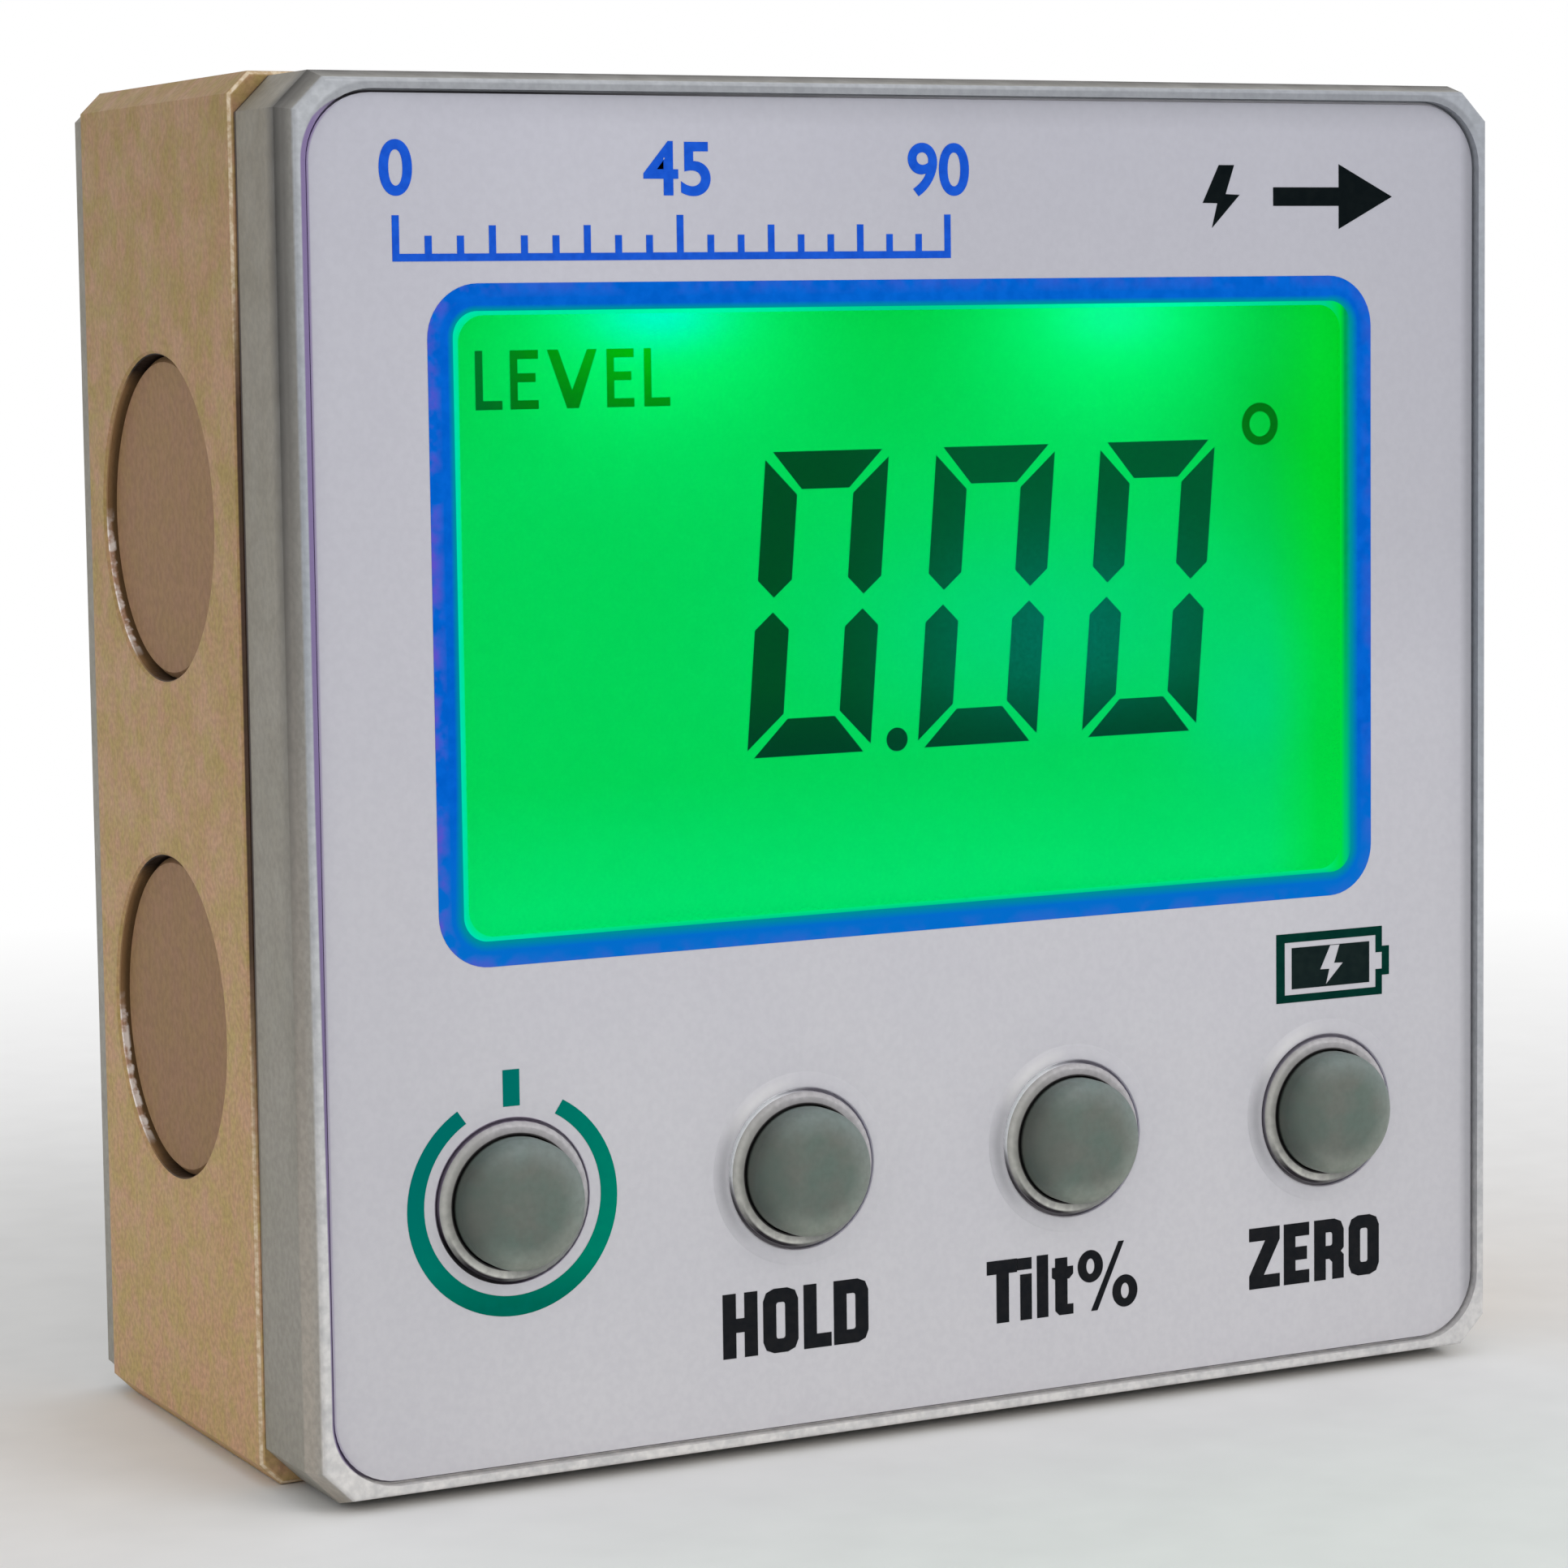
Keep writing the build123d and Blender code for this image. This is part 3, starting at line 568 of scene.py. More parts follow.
def painted_pane_glow():
    """A glowing strip of painted light for the pane's edge: lit blue-green on the left, above and below, and
    painted shade on the right.
    """
    finish = Finish("painted_pane_glow", roughness=0.4, specular=0.0)
    grain = finish.cloud(0.3, 2.0, 0.3, 0.7)
    left = finish.sideways(-14.0, -21.0)
    inner = finish.layers(
        finish.mix(finish.upwards(12.0, 18.0), (0, 234, 120), (0, 206, 134)),
        ((0, 228, 145), left))
    lit = finish.layers(
        finish.mix(left, (0, 202, 142), (0, 224, 180)),
        (inner, finish.fade(finish.beyond(PANE_OUTSIDE), -0.03, -0.22)),
        *[((0, 253, 172), finish.pool(centre, (6.2, 4.4))) for centre in LAMP_SPOTS])
    rise = finish.upwards(-5.0, 8.0)
    shaded = finish.layers(
        finish.mix(rise, (0, 198, 118), (0, 152, 78)),
        (finish.mix(rise, (0, 220, 62), (0, 218, 42)), finish.sideways(20.72, 20.48)),
        ((0, 148, 154), finish.sideways(20.76, 20.98)))
    finish.glow(
        lit,
        (shaded, finish.sideways(19.6, 20.5)),
        ((0, 205, 110), grain, 0.12))
    finish.paint(finish.mix(grain, (0, 20, 12), (0, 16, 10)))
    return finish


def button_rubber():
    """Soft matt keys with painted light and shade: darker towards the left, a painted highlight at the other
    edges, and a black painted shade at the foot.
    """
    finish = Finish("button_rubber", roughness=0.62, specular=0.35)
    spot = finish.from_key()
    across, up, distance = spot
    grain = finish.cloud(0.32, 3.0)
    right = finish.fade(across, -2.6, 2.6)
    edge = finish.mix(finish.fade(up, 1.5, -2.5), (132, 144, 143), (158, 162, 151))
    beside_left = finish.rest(finish.side(spot, (-1.0, 0.04), 0.2, 0.85))
    foot = finish.ramp(finish.along("Y"), LABEL_FRONT - 0.46 * MM, LABEL_FRONT - 0.3 * MM)
    # Painted shade on the left and at the foot, and painted light on the right and at the edges.
    finish.paint(
        finish.mix(finish.cloud(1.8, 3.0, 0.38, 0.62), (94, 109, 101), (104, 109, 102)),
        ((62, 66, 62), finish.ramp(right, 0.34, 0.1), 0.4),
        ((132, 134, 126), finish.ramp(right, 0.6, 1.0), 0.2),
        (edge, finish.fade(distance, 1.5, 2.45), beside_left, 0.62),
        ((76, 84, 76), grain, 0.2),
        ((18, 18, 17), foot, 0.95))
    finish.bump(grain, 0.008)
    return finish


def magnet_face():
    """Matt bronze coating of the magnets, a shade redder and darker than the frame."""
    finish = Finish("magnet_face", roughness=0.6, metallic=0.1, specular=0.2)
    grain = finish.cloud(0.34, 3.0, 0.36, 0.64)
    finish.paint(
        finish.mix(finish.cloud(1.3, 3.0), (156, 120, 90), (154, 122, 84)),
        ((96, 70, 48), grain, 0.26))
    finish.bump(grain, 0.016)
    return finish


def ink_border():
    """The window border's blue: purple clouds outside, and a soft green-blue inner edge of painted light from the
    display.
    """
    finish = Finish("ink_border", roughness=0.6, specular=0.0)
    grain = finish.cloud(0.5, 3.0)
    below = finish.upwards(0.0, -6.0)
    left = finish.sideways(-19.0, -22.3)
    right = finish.sideways(19.8, 20.9)
    outward = finish.beyond(PANE_OUTSIDE)
    purple = finish.both(finish.fade(outward, 0.5, 1.0), finish.cloud(1.1, 3.0, 0.42, 0.62),
                         finish.plus(finish.both(left, 0.8), 0.2))
    # Painted light from the display along the border's inner edge.
    reach = finish.plus(finish.both(finish.most(right, below), 0.17 * MM), 0.25 * MM)
    inner = finish.rest(finish.ramp(finish.maths("DIVIDE", outward, reach), 0.15, 1.0))
    finish.paint(
        finish.mix(grain, (1, 96, 206), (6, 104, 216)),
        ((4, 112, 210), below),
        ((96, 84, 206), purple),
        ((0, 146, 160), inner))
    finish.bump(grain, 0.002)
    return finish


def ink_teal():
    """The power mark's teal, bluer towards its upper left and darker below."""
    finish = Finish("ink_teal", roughness=0.6, specular=0.0)
    grain = finish.cloud(0.35, 2.0, 0.3, 0.7)
    slope = finish.minus(finish.along("Z"), finish.along("X"))
    below = finish.ramp(finish.along("Z"), KEY_Z - 2.5 * MM, KEY_Z - 4.3 * MM)
    finish.paint(
        finish.mix(finish.fade(slope, 26.0, 39.0), (0, 134, 108), (0, 110, 106)),
        ((0, 90, 76), below, 0.7),
        ((0, 116, 104), grain, 0.3))
    finish.bump(grain, 0.002)
    return finish


def ink(name, red, green, blue):
    """A printed ink, a little uneven as it dries."""
    low = (red * 0.9, green * 0.94, blue * 0.96)
    high = (red * 1.06 + 2, green * 1.04 + 2, blue * 1.02 + 2)
    return speckled(name, low, high, size=0.35, roughness=0.6, specular=0.0, depth=0.002)


# Slots with a plain finish. Sizes and depths are in mm.
PLAIN = {
    "light_diffuser": dict(dark=(220, 226, 220), light=(234, 238, 232), size=0.6, roughness=0.3),
    "tray_white": dict(dark=(222, 222, 218), light=(236, 235, 230), size=0.8, roughness=0.4),
    "board_green": dict(dark=(14, 76, 40), light=(22, 96, 52), size=0.9, roughness=0.35),
    "chip_black": dict(dark=(26, 26, 28), light=(38, 38, 40), size=0.15, roughness=0.55),
    "steel_bright": dict(dark=(176, 176, 180), light=(208, 208, 210), size=0.25, roughness=0.32,
                     metallic=0.9),
    "seal_black": dict(dark=(18, 18, 19), light=(32, 32, 33), size=0.2, roughness=0.8),
    "cell_wrap": dict(dark=(178, 180, 184), light=(200, 202, 206), size=1.2, roughness=0.35,
                  metallic=0.5),
    "foam_pad": dict(dark=(52, 52, 54), light=(84, 84, 86), size=0.35, roughness=0.9, depth=0.1),
    "lead_cover": dict(dark=(150, 26, 24), light=(176, 38, 34), size=0.3, roughness=0.45),
}


def slot_finishes():
    """The finish of every material slot of the record."""
    rich = [anodised_frame(), cover_grey(), label_print(), window_clear(), display_glass(), button_rubber(),
            magnet_face()]
    plain = [speckled(slot, **values) for slot, values in PLAIN.items()]
    return {finish.name: finish for finish in rich + plain}


def finish_nodes(finishes):
    """Gives every CAD node the finish of its slot."""
    for part in frame["record"]["subparts"]:
        for slot in frame["nodes"][part["node"]].material_slots:
            slot.material = finishes[part["material_slot"]].material


def add_object(name, data):
    """A new object in the scene."""
    thing = bpy.data.objects.new(name, data)
    bpy.context.scene.collection.objects.link(thing)
    return thing


def add_piece(name, shape, finish, slot):
    """Turns a finished bmesh into a piece that rides on the instrument."""
    mesh = bpy.data.meshes.new(name)
    shape.to_mesh(mesh)
    shape.free()
    mesh.materials.append(finish.material)
    piece = add_object(name, mesh)
    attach(piece, BODY)


def lay_on_face(name, drawings, finish, front, depth, slot):
    """One piece out of flat curves and texts, each with its placing, whose front stands at y = front."""
    upright = Matrix.Rotation(math.pi / 2, 4, "X")
    in_place = Matrix.Translation((0.0, front + depth / 2, FACE_MIDDLE_Z)) @ upright
    shape = bmesh.new()
    for data, placing in drawings:
        drawn = add_object(name + "_drawn", data)
        bpy.context.view_layer.update()
        part = bpy.data.meshes.new_from_object(drawn.evaluated_get(bpy.context.evaluated_depsgraph_get()))
        bpy.data.objects.remove(drawn)
        part.transform(in_place @ placing)
        shape.from_mesh(part)
        bpy.data.meshes.remove(part)
    for face in shape.faces:
        face.material_index = 0
        face.smooth = False
    add_piece(name, shape, finish, slot)


def flat_piece(name, loops, finish, front, depth, slot):
    """A thin piece that lies on the face. Its loops are (x, z) points in mm from the face's middle."""
    outline = bpy.data.curves.new(name, "CURVE")
    outline.dimensions = "2D"
    outline.fill_mode = "BOTH"
    outline.extrude = depth / 2
    for loop in loops:
        spline = outline.splines.new("POLY")
        spline.points.add(len(loop) - 1)
        spline.use_cyclic_u = True
        for point, (x, z) in zip(spline.points, loop):
            point.co = (x * MM, z * MM, 0.0, 1.0)
    lay_on_face(name, [(outline, Matrix())], finish, front, depth, slot)


# The print stands a little out of the label, and reaches a little into it.
INK_PROUD = 0.016 * MM
INK_DEPTH = INK_PROUD + 0.006 * MM
ON_LABEL = (LABEL_FRONT - INK_PROUD, INK_DEPTH, "label_print")


def printed(name, loops, finish):
    """A field of ink on the label."""
    flat_piece(name, loops, finish, *ON_LABEL)


# Outlines, as loops of (x, z) points in mm.
ROUND_STEPS = 72
EDGE_STEPS = 12


def bow(x, z, radius, start, end, steps=ROUND_STEPS):
    """Points along an arc, from start to end degrees, counted from the right."""
    angles = [math.radians(start + (end - start) * step / steps) for step in range(steps + 1)]
    return [(x + radius * math.cos(angle), z + radius * math.sin(angle)) for angle in angles]


def circle(x, z, radius):
    return bow(x, z, radius, 0, 360)[:-1]


def rectangle(x0, x1, z0, z1):
    return [(x0, z0), (x1, z0), (x1, z1), (x0, z1)]


def rounded(x0, x1, z0, z1, radius, steps=EDGE_STEPS):
    """The loop of a rectangle with round corners."""
    left, right, low, high = x0 + radius, x1 - radius, z0 + radius, z1 - radius
    return [*bow(right, high, radius, 0, 90, steps), *bow(left, high, radius, 90, 180, steps),
            *bow(left, low, radius, 180, 270, steps), *bow(right, low, radius, 270, 360, steps)]


def oval(x0, x1, z0, z1, steps=40):
    turns = [2 * math.pi * step / steps for step in range(steps)]
    return [((x0 + x1 + (x1 - x0) * math.cos(turn)) / 2, (z0 + z1 + (z1 - z0) * math.sin(turn)) / 2)
            for turn in turns]


# Plain block letters. Each function gives the loops of one letter in its box, in mm.
STEM = 0.61
FOOT = 0.59
LETTER_CORNER = 0.5
INNER_CORNER = LETTER_CORNER / 5
CORNER_STEPS = 2


def right_bowl(x0, x1, z0, z1, radius):
    """A box whose two right corners are round."""
    return [(x0, z0), *bow(x1 - radius, z0 + radius, radius, 270, 360, CORNER_STEPS),
            *bow(x1 - radius, z1 - radius, radius, 0, 90, CORNER_STEPS), (x0, z1)]


def letter_h(x0, x1, z0, z1):
    low, high = (z0 + z1 - FOOT) / 2, (z0 + z1 + FOOT) / 2
    return [[(x0, z0), (x0 + STEM, z0), (x0 + STEM, low), (x1 - STEM, low), (x1 - STEM, z0), (x1, z0),
             (x1, z1), (x1 - STEM, z1), (x1 - STEM, high), (x0 + STEM, high), (x0 + STEM, z1), (x0, z1)]]


def letter_o(x0, x1, z0, z1):
    return [rounded(x0, x1, z0, z1, LETTER_CORNER, CORNER_STEPS),
            rounded(x0 + STEM, x1 - STEM, z0 + FOOT, z1 - FOOT, INNER_CORNER, CORNER_STEPS)]


def letter_l(x0, x1, z0, z1, stem=STEM, foot=FOOT):
    return [[(x0, z0), (x1, z0), (x1, z0 + foot), (x0 + stem, z0 + foot), (x0 + stem, z1), (x0, z1)]]


def letter_d(x0, x1, z0, z1):
    return [right_bowl(x0, x1, z0, z1, LETTER_CORNER),
            right_bowl(x0 + STEM, x1 - STEM, z0 + FOOT, z1 - FOOT, INNER_CORNER)]


def letter_e(x0, x1, z0, z1, stem=STEM, foot=FOOT, lift=0.0):
    """The middle bar is a little shorter than the others, and stands lift mm over the middle."""
    low, high, short = (z0 + z1 - foot) / 2 + lift, (z0 + z1 + foot) / 2 + lift, x1 - 0.12
    return [[(x0, z0), (x1, z0), (x1, z0 + foot), (x0 + stem, z0 + foot), (x0 + stem, low), (short, low),
             (short, high), (x0 + stem, high), (x0 + stem, z1 - foot), (x1, z1 - foot), (x1, z1), (x0, z1)]]


def letter_z(x0, x1, z0, z1):
    slant = 1.25 * STEM
    return [[(x0, z0), (x1, z0), (x1, z0 + FOOT), (x0 + slant, z0 + FOOT), (x1, z1 - FOOT), (x1, z1),
             (x0, z1), (x0, z1 - FOOT), (x1 - slant, z1 - FOOT), (x0, z0 + FOOT)]]


def letter_r(x0, x1, z0, z1):
    middle, notch = z0 + 0.45 * (z1 - z0), 0.16
    low, high = middle - FOOT / 2, middle + FOOT / 2
    outer = [(x0, z0), (x0 + STEM, z0), (x0 + STEM, low), (x1 - STEM - notch, low), (x1 - STEM, low - notch),
             (x1 - STEM, z0), (x1, z0), (x1, middle - notch), (x1 - notch, middle), (x1, middle + notch),
             *bow(x1 - LETTER_CORNER, z1 - LETTER_CORNER, LETTER_CORNER, 0, 90, CORNER_STEPS), (x0, z1)]
    return [outer, right_bowl(x0 + STEM, x1 - STEM, high, z1 - FOOT, INNER_CORNER)]


def letter_t(x0, x1, z0, z1):
    left = x0 + 0.47
    right = left + STEM
    return [[(left, z0), (right, z0), (right, z1 - FOOT), (x1, z1 - FOOT), (x1, z1), (x0, z1),
             (x0, z1 - FOOT), (left, z1 - FOOT)]]


def small_i(x0, x1, z0, z1):
    dot = z1 - 0.53
    return [rectangle(x0, x1, z0, dot - 0.2), rectangle(x0 - 0.14, x1, dot, z1 - 0.02)]


def small_l(x0, x1, z0, z1):
    return [rectangle(x0, x1, z0, z1)]


def small_t(x0, x1, z0, z1):
    left, foot, chamfer = x0 + 0.16, 0.45, 0.2
    right, bar_high, head = left + STEM, z1 - 0.62, z1 - 0.22
    bar_low = bar_high - 0.54
    return [[(left + chamfer, z0), (x1, z0), (x1, z0 + foot), (right, z0 + foot), (right, bar_low),
             (x1 - chamfer, bar_low), (x1, bar_low + chamfer), (x1, bar_high), (right, bar_high),
             (right, head), (left, head), (left, bar_high), (x0, bar_high), (x0, bar_low + chamfer / 2),
             (left, bar_low), (left, z0 + chamfer)]]


def per_cent(x0, x1, z0, z1):
    width, height, line, low_line = 1.27, 1.42, 0.43, 0.37
    loops = [[(x0 + 0.66, z0), (x0 + 0.98, z0), (x0 + 2.34, z1 + 0.2), (x0 + 2.06, z1 + 0.2)]]
    for left, low in ((x0, z1 - 1.46), (x1 - width, z0)):
        right, high = left + width, low + height
        loops.append(oval(left, right, low, high))
        loops.append(oval(left + line, right - line, low + low_line, high - low_line))
    return loops


LETTERS = {"H": letter_h, "O": letter_o, "L": letter_l, "D": letter_d, "E": letter_e, "Z": letter_z,
           "R": letter_r, "T": letter_t, "i": small_i, "l": small_l, "t": small_t, "%": per_cent}

# What the keys do, as (letter, x0, x1) in mm from the middle of the face, all between the same two heights.
KEY_WORDS = {
    "word_hold": (("H", -10.28, -8.67), ("O", -8.41, -6.77), ("L", -6.51, -5.21), ("D", -5.09, -3.45)),
    "word_tilt": (("T", 2.3, 3.79), ("i", 3.94, 4.51), ("l", 4.77, 5.33), ("t", 5.52, 6.58),
                  ("%", 6.81, 9.82)),
    "word_zero": (("Z", 15.6, 17.2), ("E", 17.42, 18.76), ("R", 19.03, 20.6), ("O", 20.87, 22.49)),
}
KEY_WORDS_LOW = -24.36
KEY_WORDS_HIGH = -21.64


def print_key_words(black):
    """What the keys do, under them."""
    for name, letters in KEY_WORDS.items():
        loops = []
        for letter, x0, x1 in letters:
            loops += LETTERS[letter](x0, x1, KEY_WORDS_LOW, KEY_WORDS_HIGH)
        printed(name, loops, black)


# Marks of the label, in mm from the middle of the face: an arc as (x, z, radius) with its span in degrees.
BORDER = dict(x0=-22.6, x1=22.07, z0=-7.14, z1=20.08, radius=2.2)
POWER_OUTER = (-19.61, -16.8, 4.61)
POWER_INNER = (-19.61, -16.7, 3.88)
POWER_SPAN = (120.9, 420.7)
POWER_STROKE = (-19.98, -19.25, -12.84, -11.35)
BATTERY_OUTER = [(17.06, -11.76), (22.66, -11.76), (22.66, -10.9), (23.04, -10.9),
                 (23.04, -9.6), (22.66, -9.6), (22.66, -8.7), (17.06, -8.7)]
BATTERY_INNER = [(17.5, -11.42), (22.32, -11.42), (22.32, -10.62), (22.66, -10.62),
                 (22.66, -9.87), (22.32, -9.87), (22.32, -9.09), (17.5, -9.09)]
BATTERY_CHARGE = (17.87, 21.98, -11.17, -9.34)
SOCKET_ARROW = [(17.0, 23.1), (20.4, 23.1), (20.4, 22.1), (23.2, 23.5), (20.4, 24.9), (20.4, 23.9),
                (17.0, 23.9)]

# The corners of a charging bolt, in mm from its lower left.
BOLT = ((0.53, 1.77), (1.03, 1.77), (0.75, 0.97), (1.21, 0.95), (0.3, 0.04), (0.48, 0.72), (0.0, 0.73))


def bolt(x, z, size=1.0):
    """A charging bolt whose lower left is at x, z."""
    return [(x + size * bolt_x, z + size * bolt_z) for bolt_x, bolt_z in BOLT]


def print_window(blue, glow):
    """The blue border of the window, and inside it a glowing strip of painted light for the pane's edge as it
    shows through the front.
    """
    printed("window_border", [rounded(**BORDER), rounded(**PANE_OUTSIDE)], blue)
    printed("painted_pane_glow", [rounded(**PANE_OUTSIDE), rounded(**PANE_INSIDE)], glow)


def print_power_mark(teal):
    """The open ring round the power button and the stroke over it."""
    ring = bow(*POWER_OUTER, *POWER_SPAN) + bow(*POWER_INNER, *POWER_SPAN)[::-1]
    printed("power_ring", [ring], teal)
    printed("power_stroke", [rectangle(*POWER_STROKE)], teal)


def print_battery_mark(line, dark):
    """A battery with a bolt in its charge."""
    printed("battery_outline", [BATTERY_OUTER, BATTERY_INNER], line)
    printed("battery_charge", [rectangle(*BATTERY_CHARGE), bolt(19.37, -11.13)], dark)


def print_socket_mark(dark):
    """A bolt and an arrow that point out the charging socket in the right side."""
    printed("socket_bolt", [bolt(13.4, 22.1, 1.55)], dark)
    printed("socket_arrow", [SOCKET_ARROW], dark)


# The scale over the window, in mm from the middle of the face. Every third and ninth tick is longer.
SCALE_LEFT = -24.0
SCALE_RIGHT = 1.0
SCALE_BASE = 20.95
SCALE_TICKS = 18
TICK_WIDTH = 0.3
TICK_HEIGHTS = {9: 1.8, 3: 1.4, 1: 1.0}
NUMBERS = (("0", -24.5, -23.1), ("45", -13.1, -10.1), ("90", -1.0, 1.9))
NUMBERS_LOW = 23.5
NUMBERS_HIGH = 25.7
NUMBERS_WEIGHT = 0.02


def number_in_box(digits, x0, x1):
    """A number in the stock font, and the placing that stretches it between x0 and x1 mm."""
    text = bpy.data.curves.new(digits, "FONT")
    text.body = digits
    text.size = 1.0
    text.offset = NUMBERS_WEIGHT
    drawn = add_object("size", text)
    bpy.context.view_layer.update()
    low_x, low_y = (min(corner[axis] for corner in drawn.bound_box) for axis in (0, 1))
    high_x, high_y = (max(corner[axis] for corner in drawn.bound_box) for axis in (0, 1))
    bpy.data.objects.remove(drawn)
    text.extrude = 0.5
    wide = (x1 - x0) * MM / (high_x - low_x)
    tall = (NUMBERS_HIGH - NUMBERS_LOW) * MM / (high_y - low_y)
    start = Matrix.Translation((x0 * MM, NUMBERS_LOW * MM, 0.0))
    stretch = Matrix.Diagonal((wide, tall, INK_DEPTH, 1.0))
    return text, start @ stretch @ Matrix.Translation((-low_x, -low_y, 0.0))


def print_angle_scale(blue):
    """A plain scale of degrees over the window."""
    printed("scale_line", [rectangle(SCALE_LEFT, SCALE_RIGHT, SCALE_BASE, SCALE_BASE + TICK_WIDTH)], blue)
    ticks = []
    for count in range(SCALE_TICKS + 1):
        x = SCALE_LEFT + (SCALE_RIGHT - SCALE_LEFT - TICK_WIDTH) * count / SCALE_TICKS
        height = next(height for every, height in TICK_HEIGHTS.items() if count % every == 0)
        ticks.append(rectangle(x, x + TICK_WIDTH, SCALE_BASE + TICK_WIDTH, SCALE_BASE + height))
    printed("scale_ticks", ticks, blue)
    lay_on_face("scale_numbers", [number_in_box(*number) for number in NUMBERS], blue, *ON_LABEL)


# The label's raised lip round a key, as (radius, height over the label) in mm, and where it is highest.
LIP = ((3.41, -0.03), (3.41, 0.1), (3.46, 0.15), (3.55, 0.17), (3.68, 0.15), (3.82, 0.09), (3.96, 0.03),
       (4.06, 0.008), (4.1, -0.03))
LIP_STEPS = 96
LIP_HIGH_SIDE = math.radians(187)
LIP_LEAST = 0.2
LIP_FALL = 6


def lip_ring(shape, middle_x, middle_z, angle):
    """The corners of the lip's outline at one angle round the key."""
    rise = LIP_LEAST + (1 - LIP_LEAST) * math.cos((angle - LIP_HIGH_SIDE) / 2) ** LIP_FALL
    ring = []
    for radius, height in LIP:
        x = middle_x + radius * MM * math.cos(angle)
        z = middle_z + radius * MM * math.sin(angle)
        ring.append(shape.verts.new((x, LABEL_FRONT - height * rise * MM, z)))
    return ring


def make_lips(finish):
    """The film stands up in a soft ring round three of the keys."""
    for key in ("hold", "tilt", "zero"):
        middle_x, middle_z = key_middle(key + "_button")
        shape = bmesh.new()
        angles = [2 * math.pi * step / LIP_STEPS for step in range(LIP_STEPS)]
        rings = [lip_ring(shape, middle_x, middle_z, angle) for angle in angles]
        for step, ring in enumerate(rings):
            following = rings[(step + 1) % LIP_STEPS]
            for point in range(len(LIP)):
                after = (point + 1) % len(LIP)
                shape.faces.new((ring[point], ring[after], following[after], following[point]))
        bmesh.ops.recalc_face_normals(shape, faces=shape.faces)
        for face in shape.faces:
            face.smooth = True
        add_piece(key + "_lip", shape, finish, "label_print")


# The marks of the display stand just in front of its glass.
ON_GLASS = (PANEL_FRONT - 0.03 * MM, 0.04 * MM, "display_glass")

# Their sizes in mm, and their places in mm from the middle of the face, a circle as (x, z, radius).
DIGIT_WIDTH = 5.79
DIGIT_HEIGHT = 12.67
DIGIT_BASE = 0.37
DIGIT_LEFTS = (-7.94, 0.14, 8.22)
DIGIT_SLANT = math.radians(4.8)
BAR = 1.57
CORNER_GAP = 0.33
MIDDLE_GAP = 0.31
TIP = 0.72
INNER_GAP = 0.22
DECIMAL_POINT = (-0.85, 0.79, 0.5)
DEGREE_OUTER = (17.41, 13.66, 0.93)
DEGREE_INNER = (17.41, 13.66, 0.55)
WORD_LOW = 15.04
WORD_HIGH = 17.41
WORD_STEM = 0.32
WORD_FOOT = 0.36
WORD_LIFT = 0.08


def digit_bars():
    """The six bars of a nought, upright, with its lower left corner at 0, 0."""
    width, height, middle = DIGIT_WIDTH, DIGIT_HEIGHT, DIGIT_HEIGHT / 2
    top = [(CORNER_GAP, height), (width - CORNER_GAP, height),
           (width - BAR - INNER_GAP, height - BAR), (BAR + INNER_GAP, height - BAR)]
    side = [(0, height - CORNER_GAP), (BAR, height - BAR - INNER_GAP), (BAR, middle + MIDDLE_GAP + TIP),
            (BAR / 2, middle + MIDDLE_GAP), (0, middle + MIDDLE_GAP + TIP)]
    bars = [top, side, [(width - x, z) for x, z in side]]
    return bars + [[(x, height - z) for x, z in bar] for bar in bars]


def leaned(loop, left):
    """A bar moved to its digit and leaned to the right."""
    return [(left + x + z * math.tan(DIGIT_SLANT), DIGIT_BASE + z) for x, z in loop]


def level_word():
    """The word of five thin letters at the display's upper left."""
    form = (WORD_LOW, WORD_HIGH, WORD_STEM, WORD_FOOT)
    vee = [(-16.7, WORD_HIGH), (-15.84, WORD_LOW), (-15.33, WORD_LOW), (-14.5, WORD_HIGH),
           (-14.92, WORD_HIGH), (-15.61, WORD_LOW + 0.72), (-16.22, WORD_HIGH)]
    return [*letter_l(-19.85, -18.69, *form), *letter_e(-18.33, -17.1, *form, WORD_LIFT), vee,
            *letter_e(-14.06, -12.85, *form, WORD_LIFT), *letter_l(-12.39, -11.23, *form)]


def make_display_marks(dark, light):
    """The display's reading and its word."""
    marks = {f"digit_{count}": ([leaned(bar, left) for bar in digit_bars()], dark)
             for count, left in enumerate(DIGIT_LEFTS, start=1)}
    marks["decimal_point"] = ([circle(*DECIMAL_POINT)], dark)
    marks["degree_mark"] = ([circle(*DEGREE_OUTER), circle(*DEGREE_INNER)], light)
    marks["level_word"] = (level_word(), light)
    for name, (loops, finish) in marks.items():
        flat_piece(name, loops, finish, *ON_GLASS)


def seen_directly(tree):
    """1 for camera, mirror and glass rays, and 0 for the rays that light the object."""
    path = tree.nodes.new("ShaderNodeLightPath")
    largest = path.outputs["Is Camera Ray"]
    for kind in ("Is Glossy Ray", "Is Transmission Ray"):
        node = tree.nodes.new("ShaderNodeMath")
        node.operation = "MAXIMUM"
        tree.links.new(largest, node.inputs[0])
        tree.links.new(path.outputs[kind], node.inputs[1])
        largest = node.outputs[0]
    return largest


# The studio.
FLOOR_REACH = 3.0
FLOOR_LEVEL = -0.05 * MM
FLOOR_PALE_TO = 0.05
FLOOR_WHITE_FROM = 0.16
SKY_STRENGTH = 0.72
LAMP_PLACE = (0.35, -0.75, 0.5)
LAMP_SIZE = 0.5
LAMP_POWER = 2.4


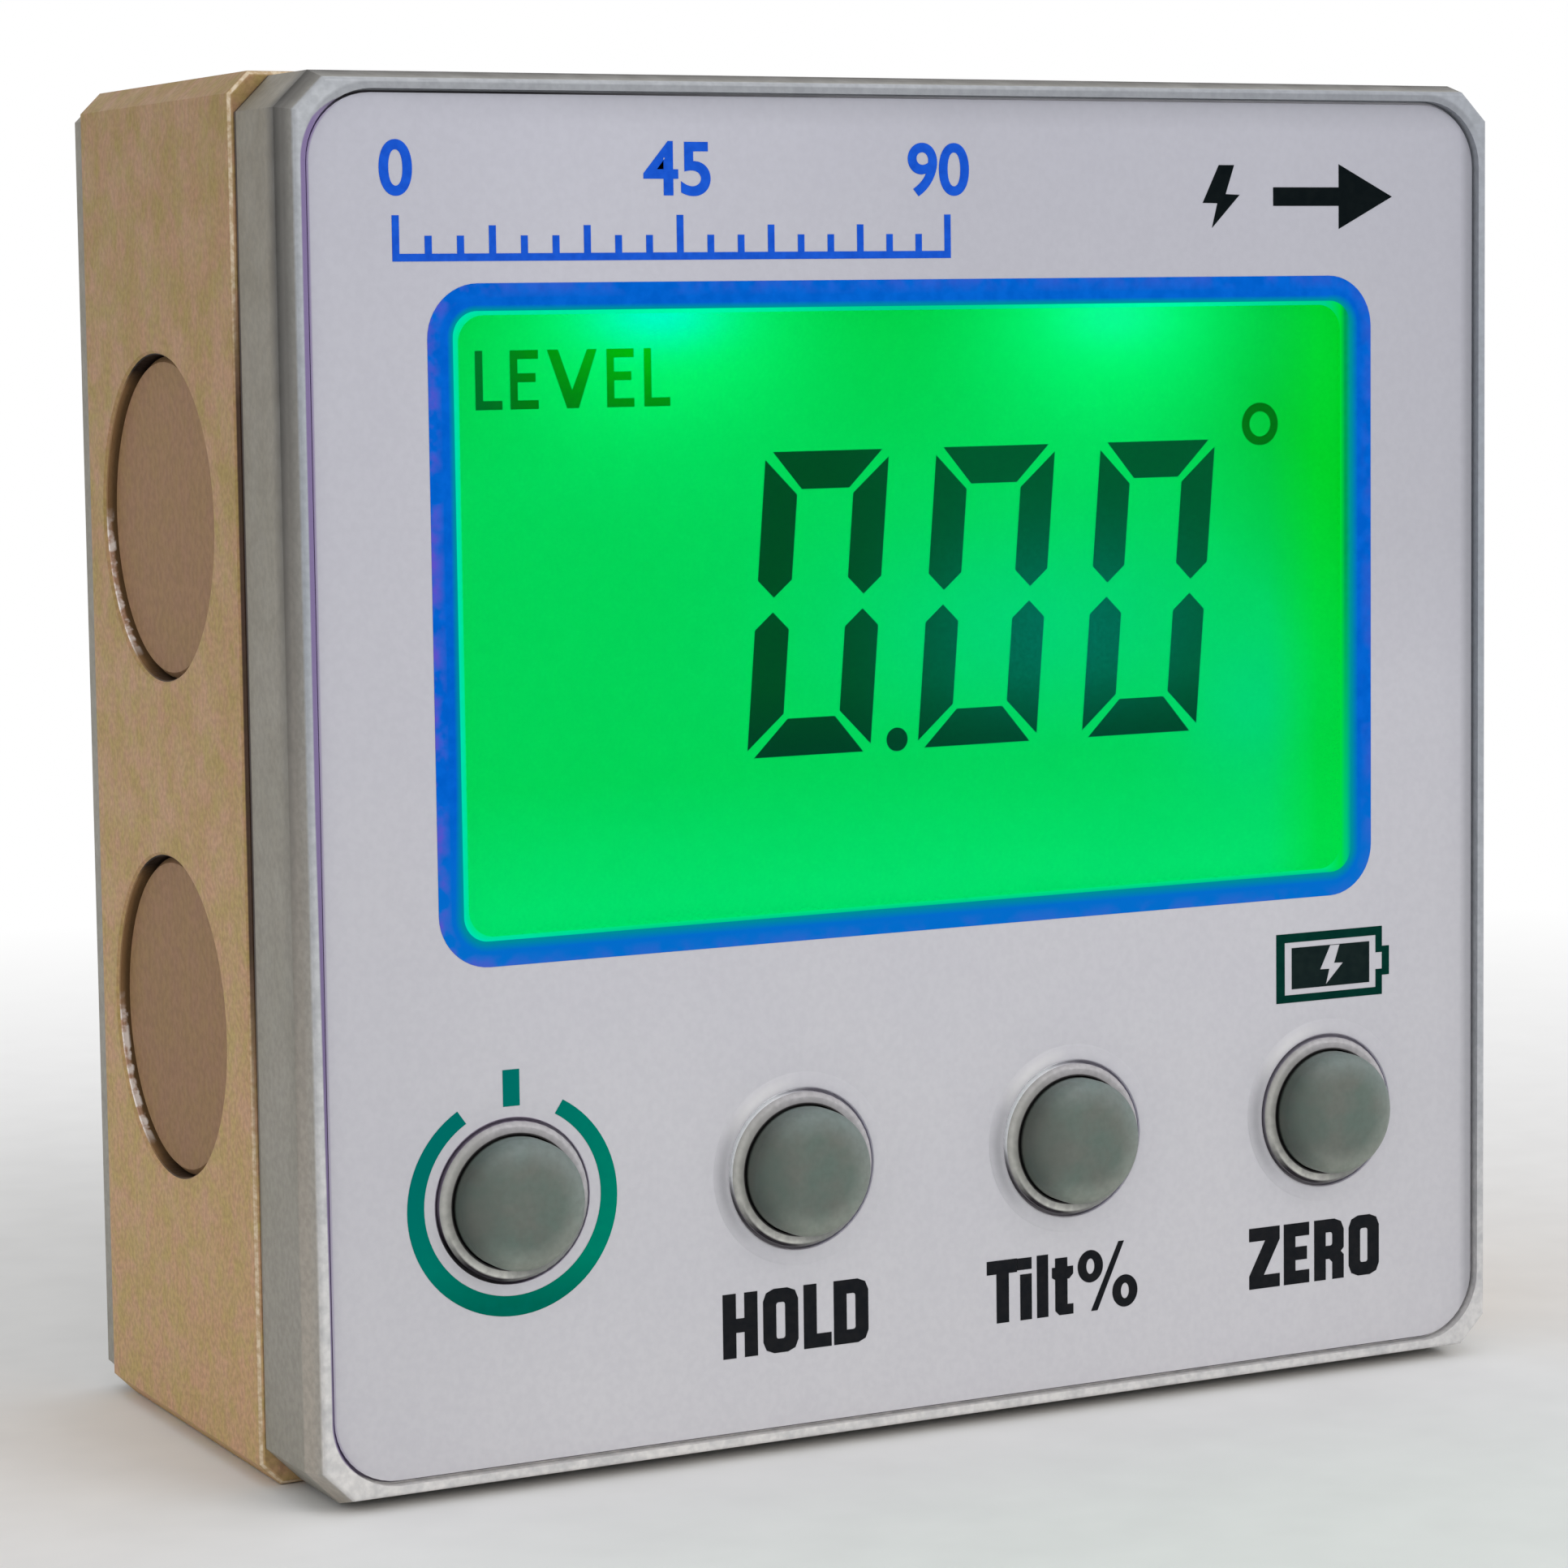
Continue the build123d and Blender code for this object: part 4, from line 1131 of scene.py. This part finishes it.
def floor_finish():
    """Pale grey near the object, and plain white away from it."""
    finish = Finish("floor_pale", roughness=0.9, specular=0.1)
    finish.paint(finish.mix(finish.cloud(4.0, 2.0, 0.3, 0.7), (240, 240, 240), (244, 244, 244)))
    far = finish.new("VectorMath")
    far.operation = "LENGTH"
    finish.feed(far, {0: finish.place})
    away = finish.ramp(far.outputs["Value"], FLOOR_PALE_TO, FLOOR_WHITE_FROM)
    share = finish.both(away, seen_directly(finish.tree))
    white = finish.new("Emission")
    surface = finish.new("MixShader")
    finish.feed(surface, {0: share, 1: finish.shader.outputs[0], 2: white.outputs[0]})
    finish.feed(finish.tree.nodes["Material Output"], {"Surface": surface.outputs[0]})
    return finish


def make_floor():
    """A pale floor that fades to white away from the object."""
    outline = rectangle(-FLOOR_REACH, FLOOR_REACH, -FLOOR_REACH, FLOOR_REACH)
    corners = [(x, y, FLOOR_LEVEL) for x, y in outline]
    mesh = bpy.data.meshes.new("floor")
    mesh.from_pydata(corners, [], [(0, 1, 2, 3)])
    mesh.materials.append(floor_finish().material)
    floor = add_object("floor", mesh)


def make_world():
    """Even light from all round, with a white background."""
    world = bpy.data.worlds.new("studio")
    world.use_nodes = True
    tree = world.node_tree
    background = tree.nodes["Background"]
    background.inputs["Color"].default_value = (1.0, 1.0, 1.0, 1.0)
    strength = tree.nodes.new("ShaderNodeMapRange")
    tree.links.new(seen_directly(tree), strength.inputs["Value"])
    strength.inputs["To Min"].default_value = SKY_STRENGTH
    strength.inputs["To Max"].default_value = 1.0
    tree.links.new(strength.outputs["Result"], background.inputs["Strength"])
    bpy.context.scene.world = world


def add_lamp():
    """A square soft box that looks at the object's middle."""
    data = bpy.data.lights.new("key", "AREA")
    data.shape = "SQUARE"
    data.size = LAMP_SIZE
    data.energy = LAMP_POWER
    lamp = add_object("key", data)
    lamp.location = LAMP_PLACE
    middle = Vector((0.0, 0.0, FACE_MIDDLE_Z))
    lamp.rotation_euler = (Vector(LAMP_PLACE) - middle).to_track_quat("Z", "Y").to_euler()


# The photograph's view: place in mm, angles in degrees.
CAMERA_PLACE = (-89.641, -173.622, 47.319)
CAMERA_TURN = -27.1607
CAMERA_TILT = 90 - 5.2747
CAMERA_ROLL = -0.73488
LENS = 101.2765
SENSOR_WIDTH = 36.0
SHIFT_UP = -0.04
NEAREST = 0.01


def make_camera():
    """The photograph's own view: close, from the left and a little above."""
    data = bpy.data.cameras.new("camera")
    data.sensor_width = SENSOR_WIDTH
    data.lens = LENS
    data.shift_y = SHIFT_UP
    data.clip_start = NEAREST
    camera = add_object("camera", data)
    matrix = Matrix.Translation([value * MM for value in CAMERA_PLACE])
    for angle, axis in ((CAMERA_TURN, "Z"), (CAMERA_TILT, "X"), (CAMERA_ROLL, "Z")):
        matrix = matrix @ Matrix.Rotation(math.radians(angle), 4, axis)
    camera.matrix_world = matrix
    bpy.context.scene.camera = camera


finishes = slot_finishes()
finish_nodes(finishes)
make_lips(finishes["label_print"])
print_window(ink_border(), painted_pane_glow())
print_power_mark(ink_teal())
print_battery_mark(ink("ink_deep_green", 6, 50, 42), ink("ink_charge", 24, 36, 36))
print_socket_mark(ink("ink_dark", 16, 22, 24))
print_angle_scale(ink("ink_scale_blue", 28, 88, 210))
print_key_words(ink("ink_black", 31, 32, 35))
make_display_marks(segment_dark(), segment_light())
make_floor()
make_world()
add_lamp()
make_camera()
bpy.context.scene.view_settings.view_transform = "Standard"
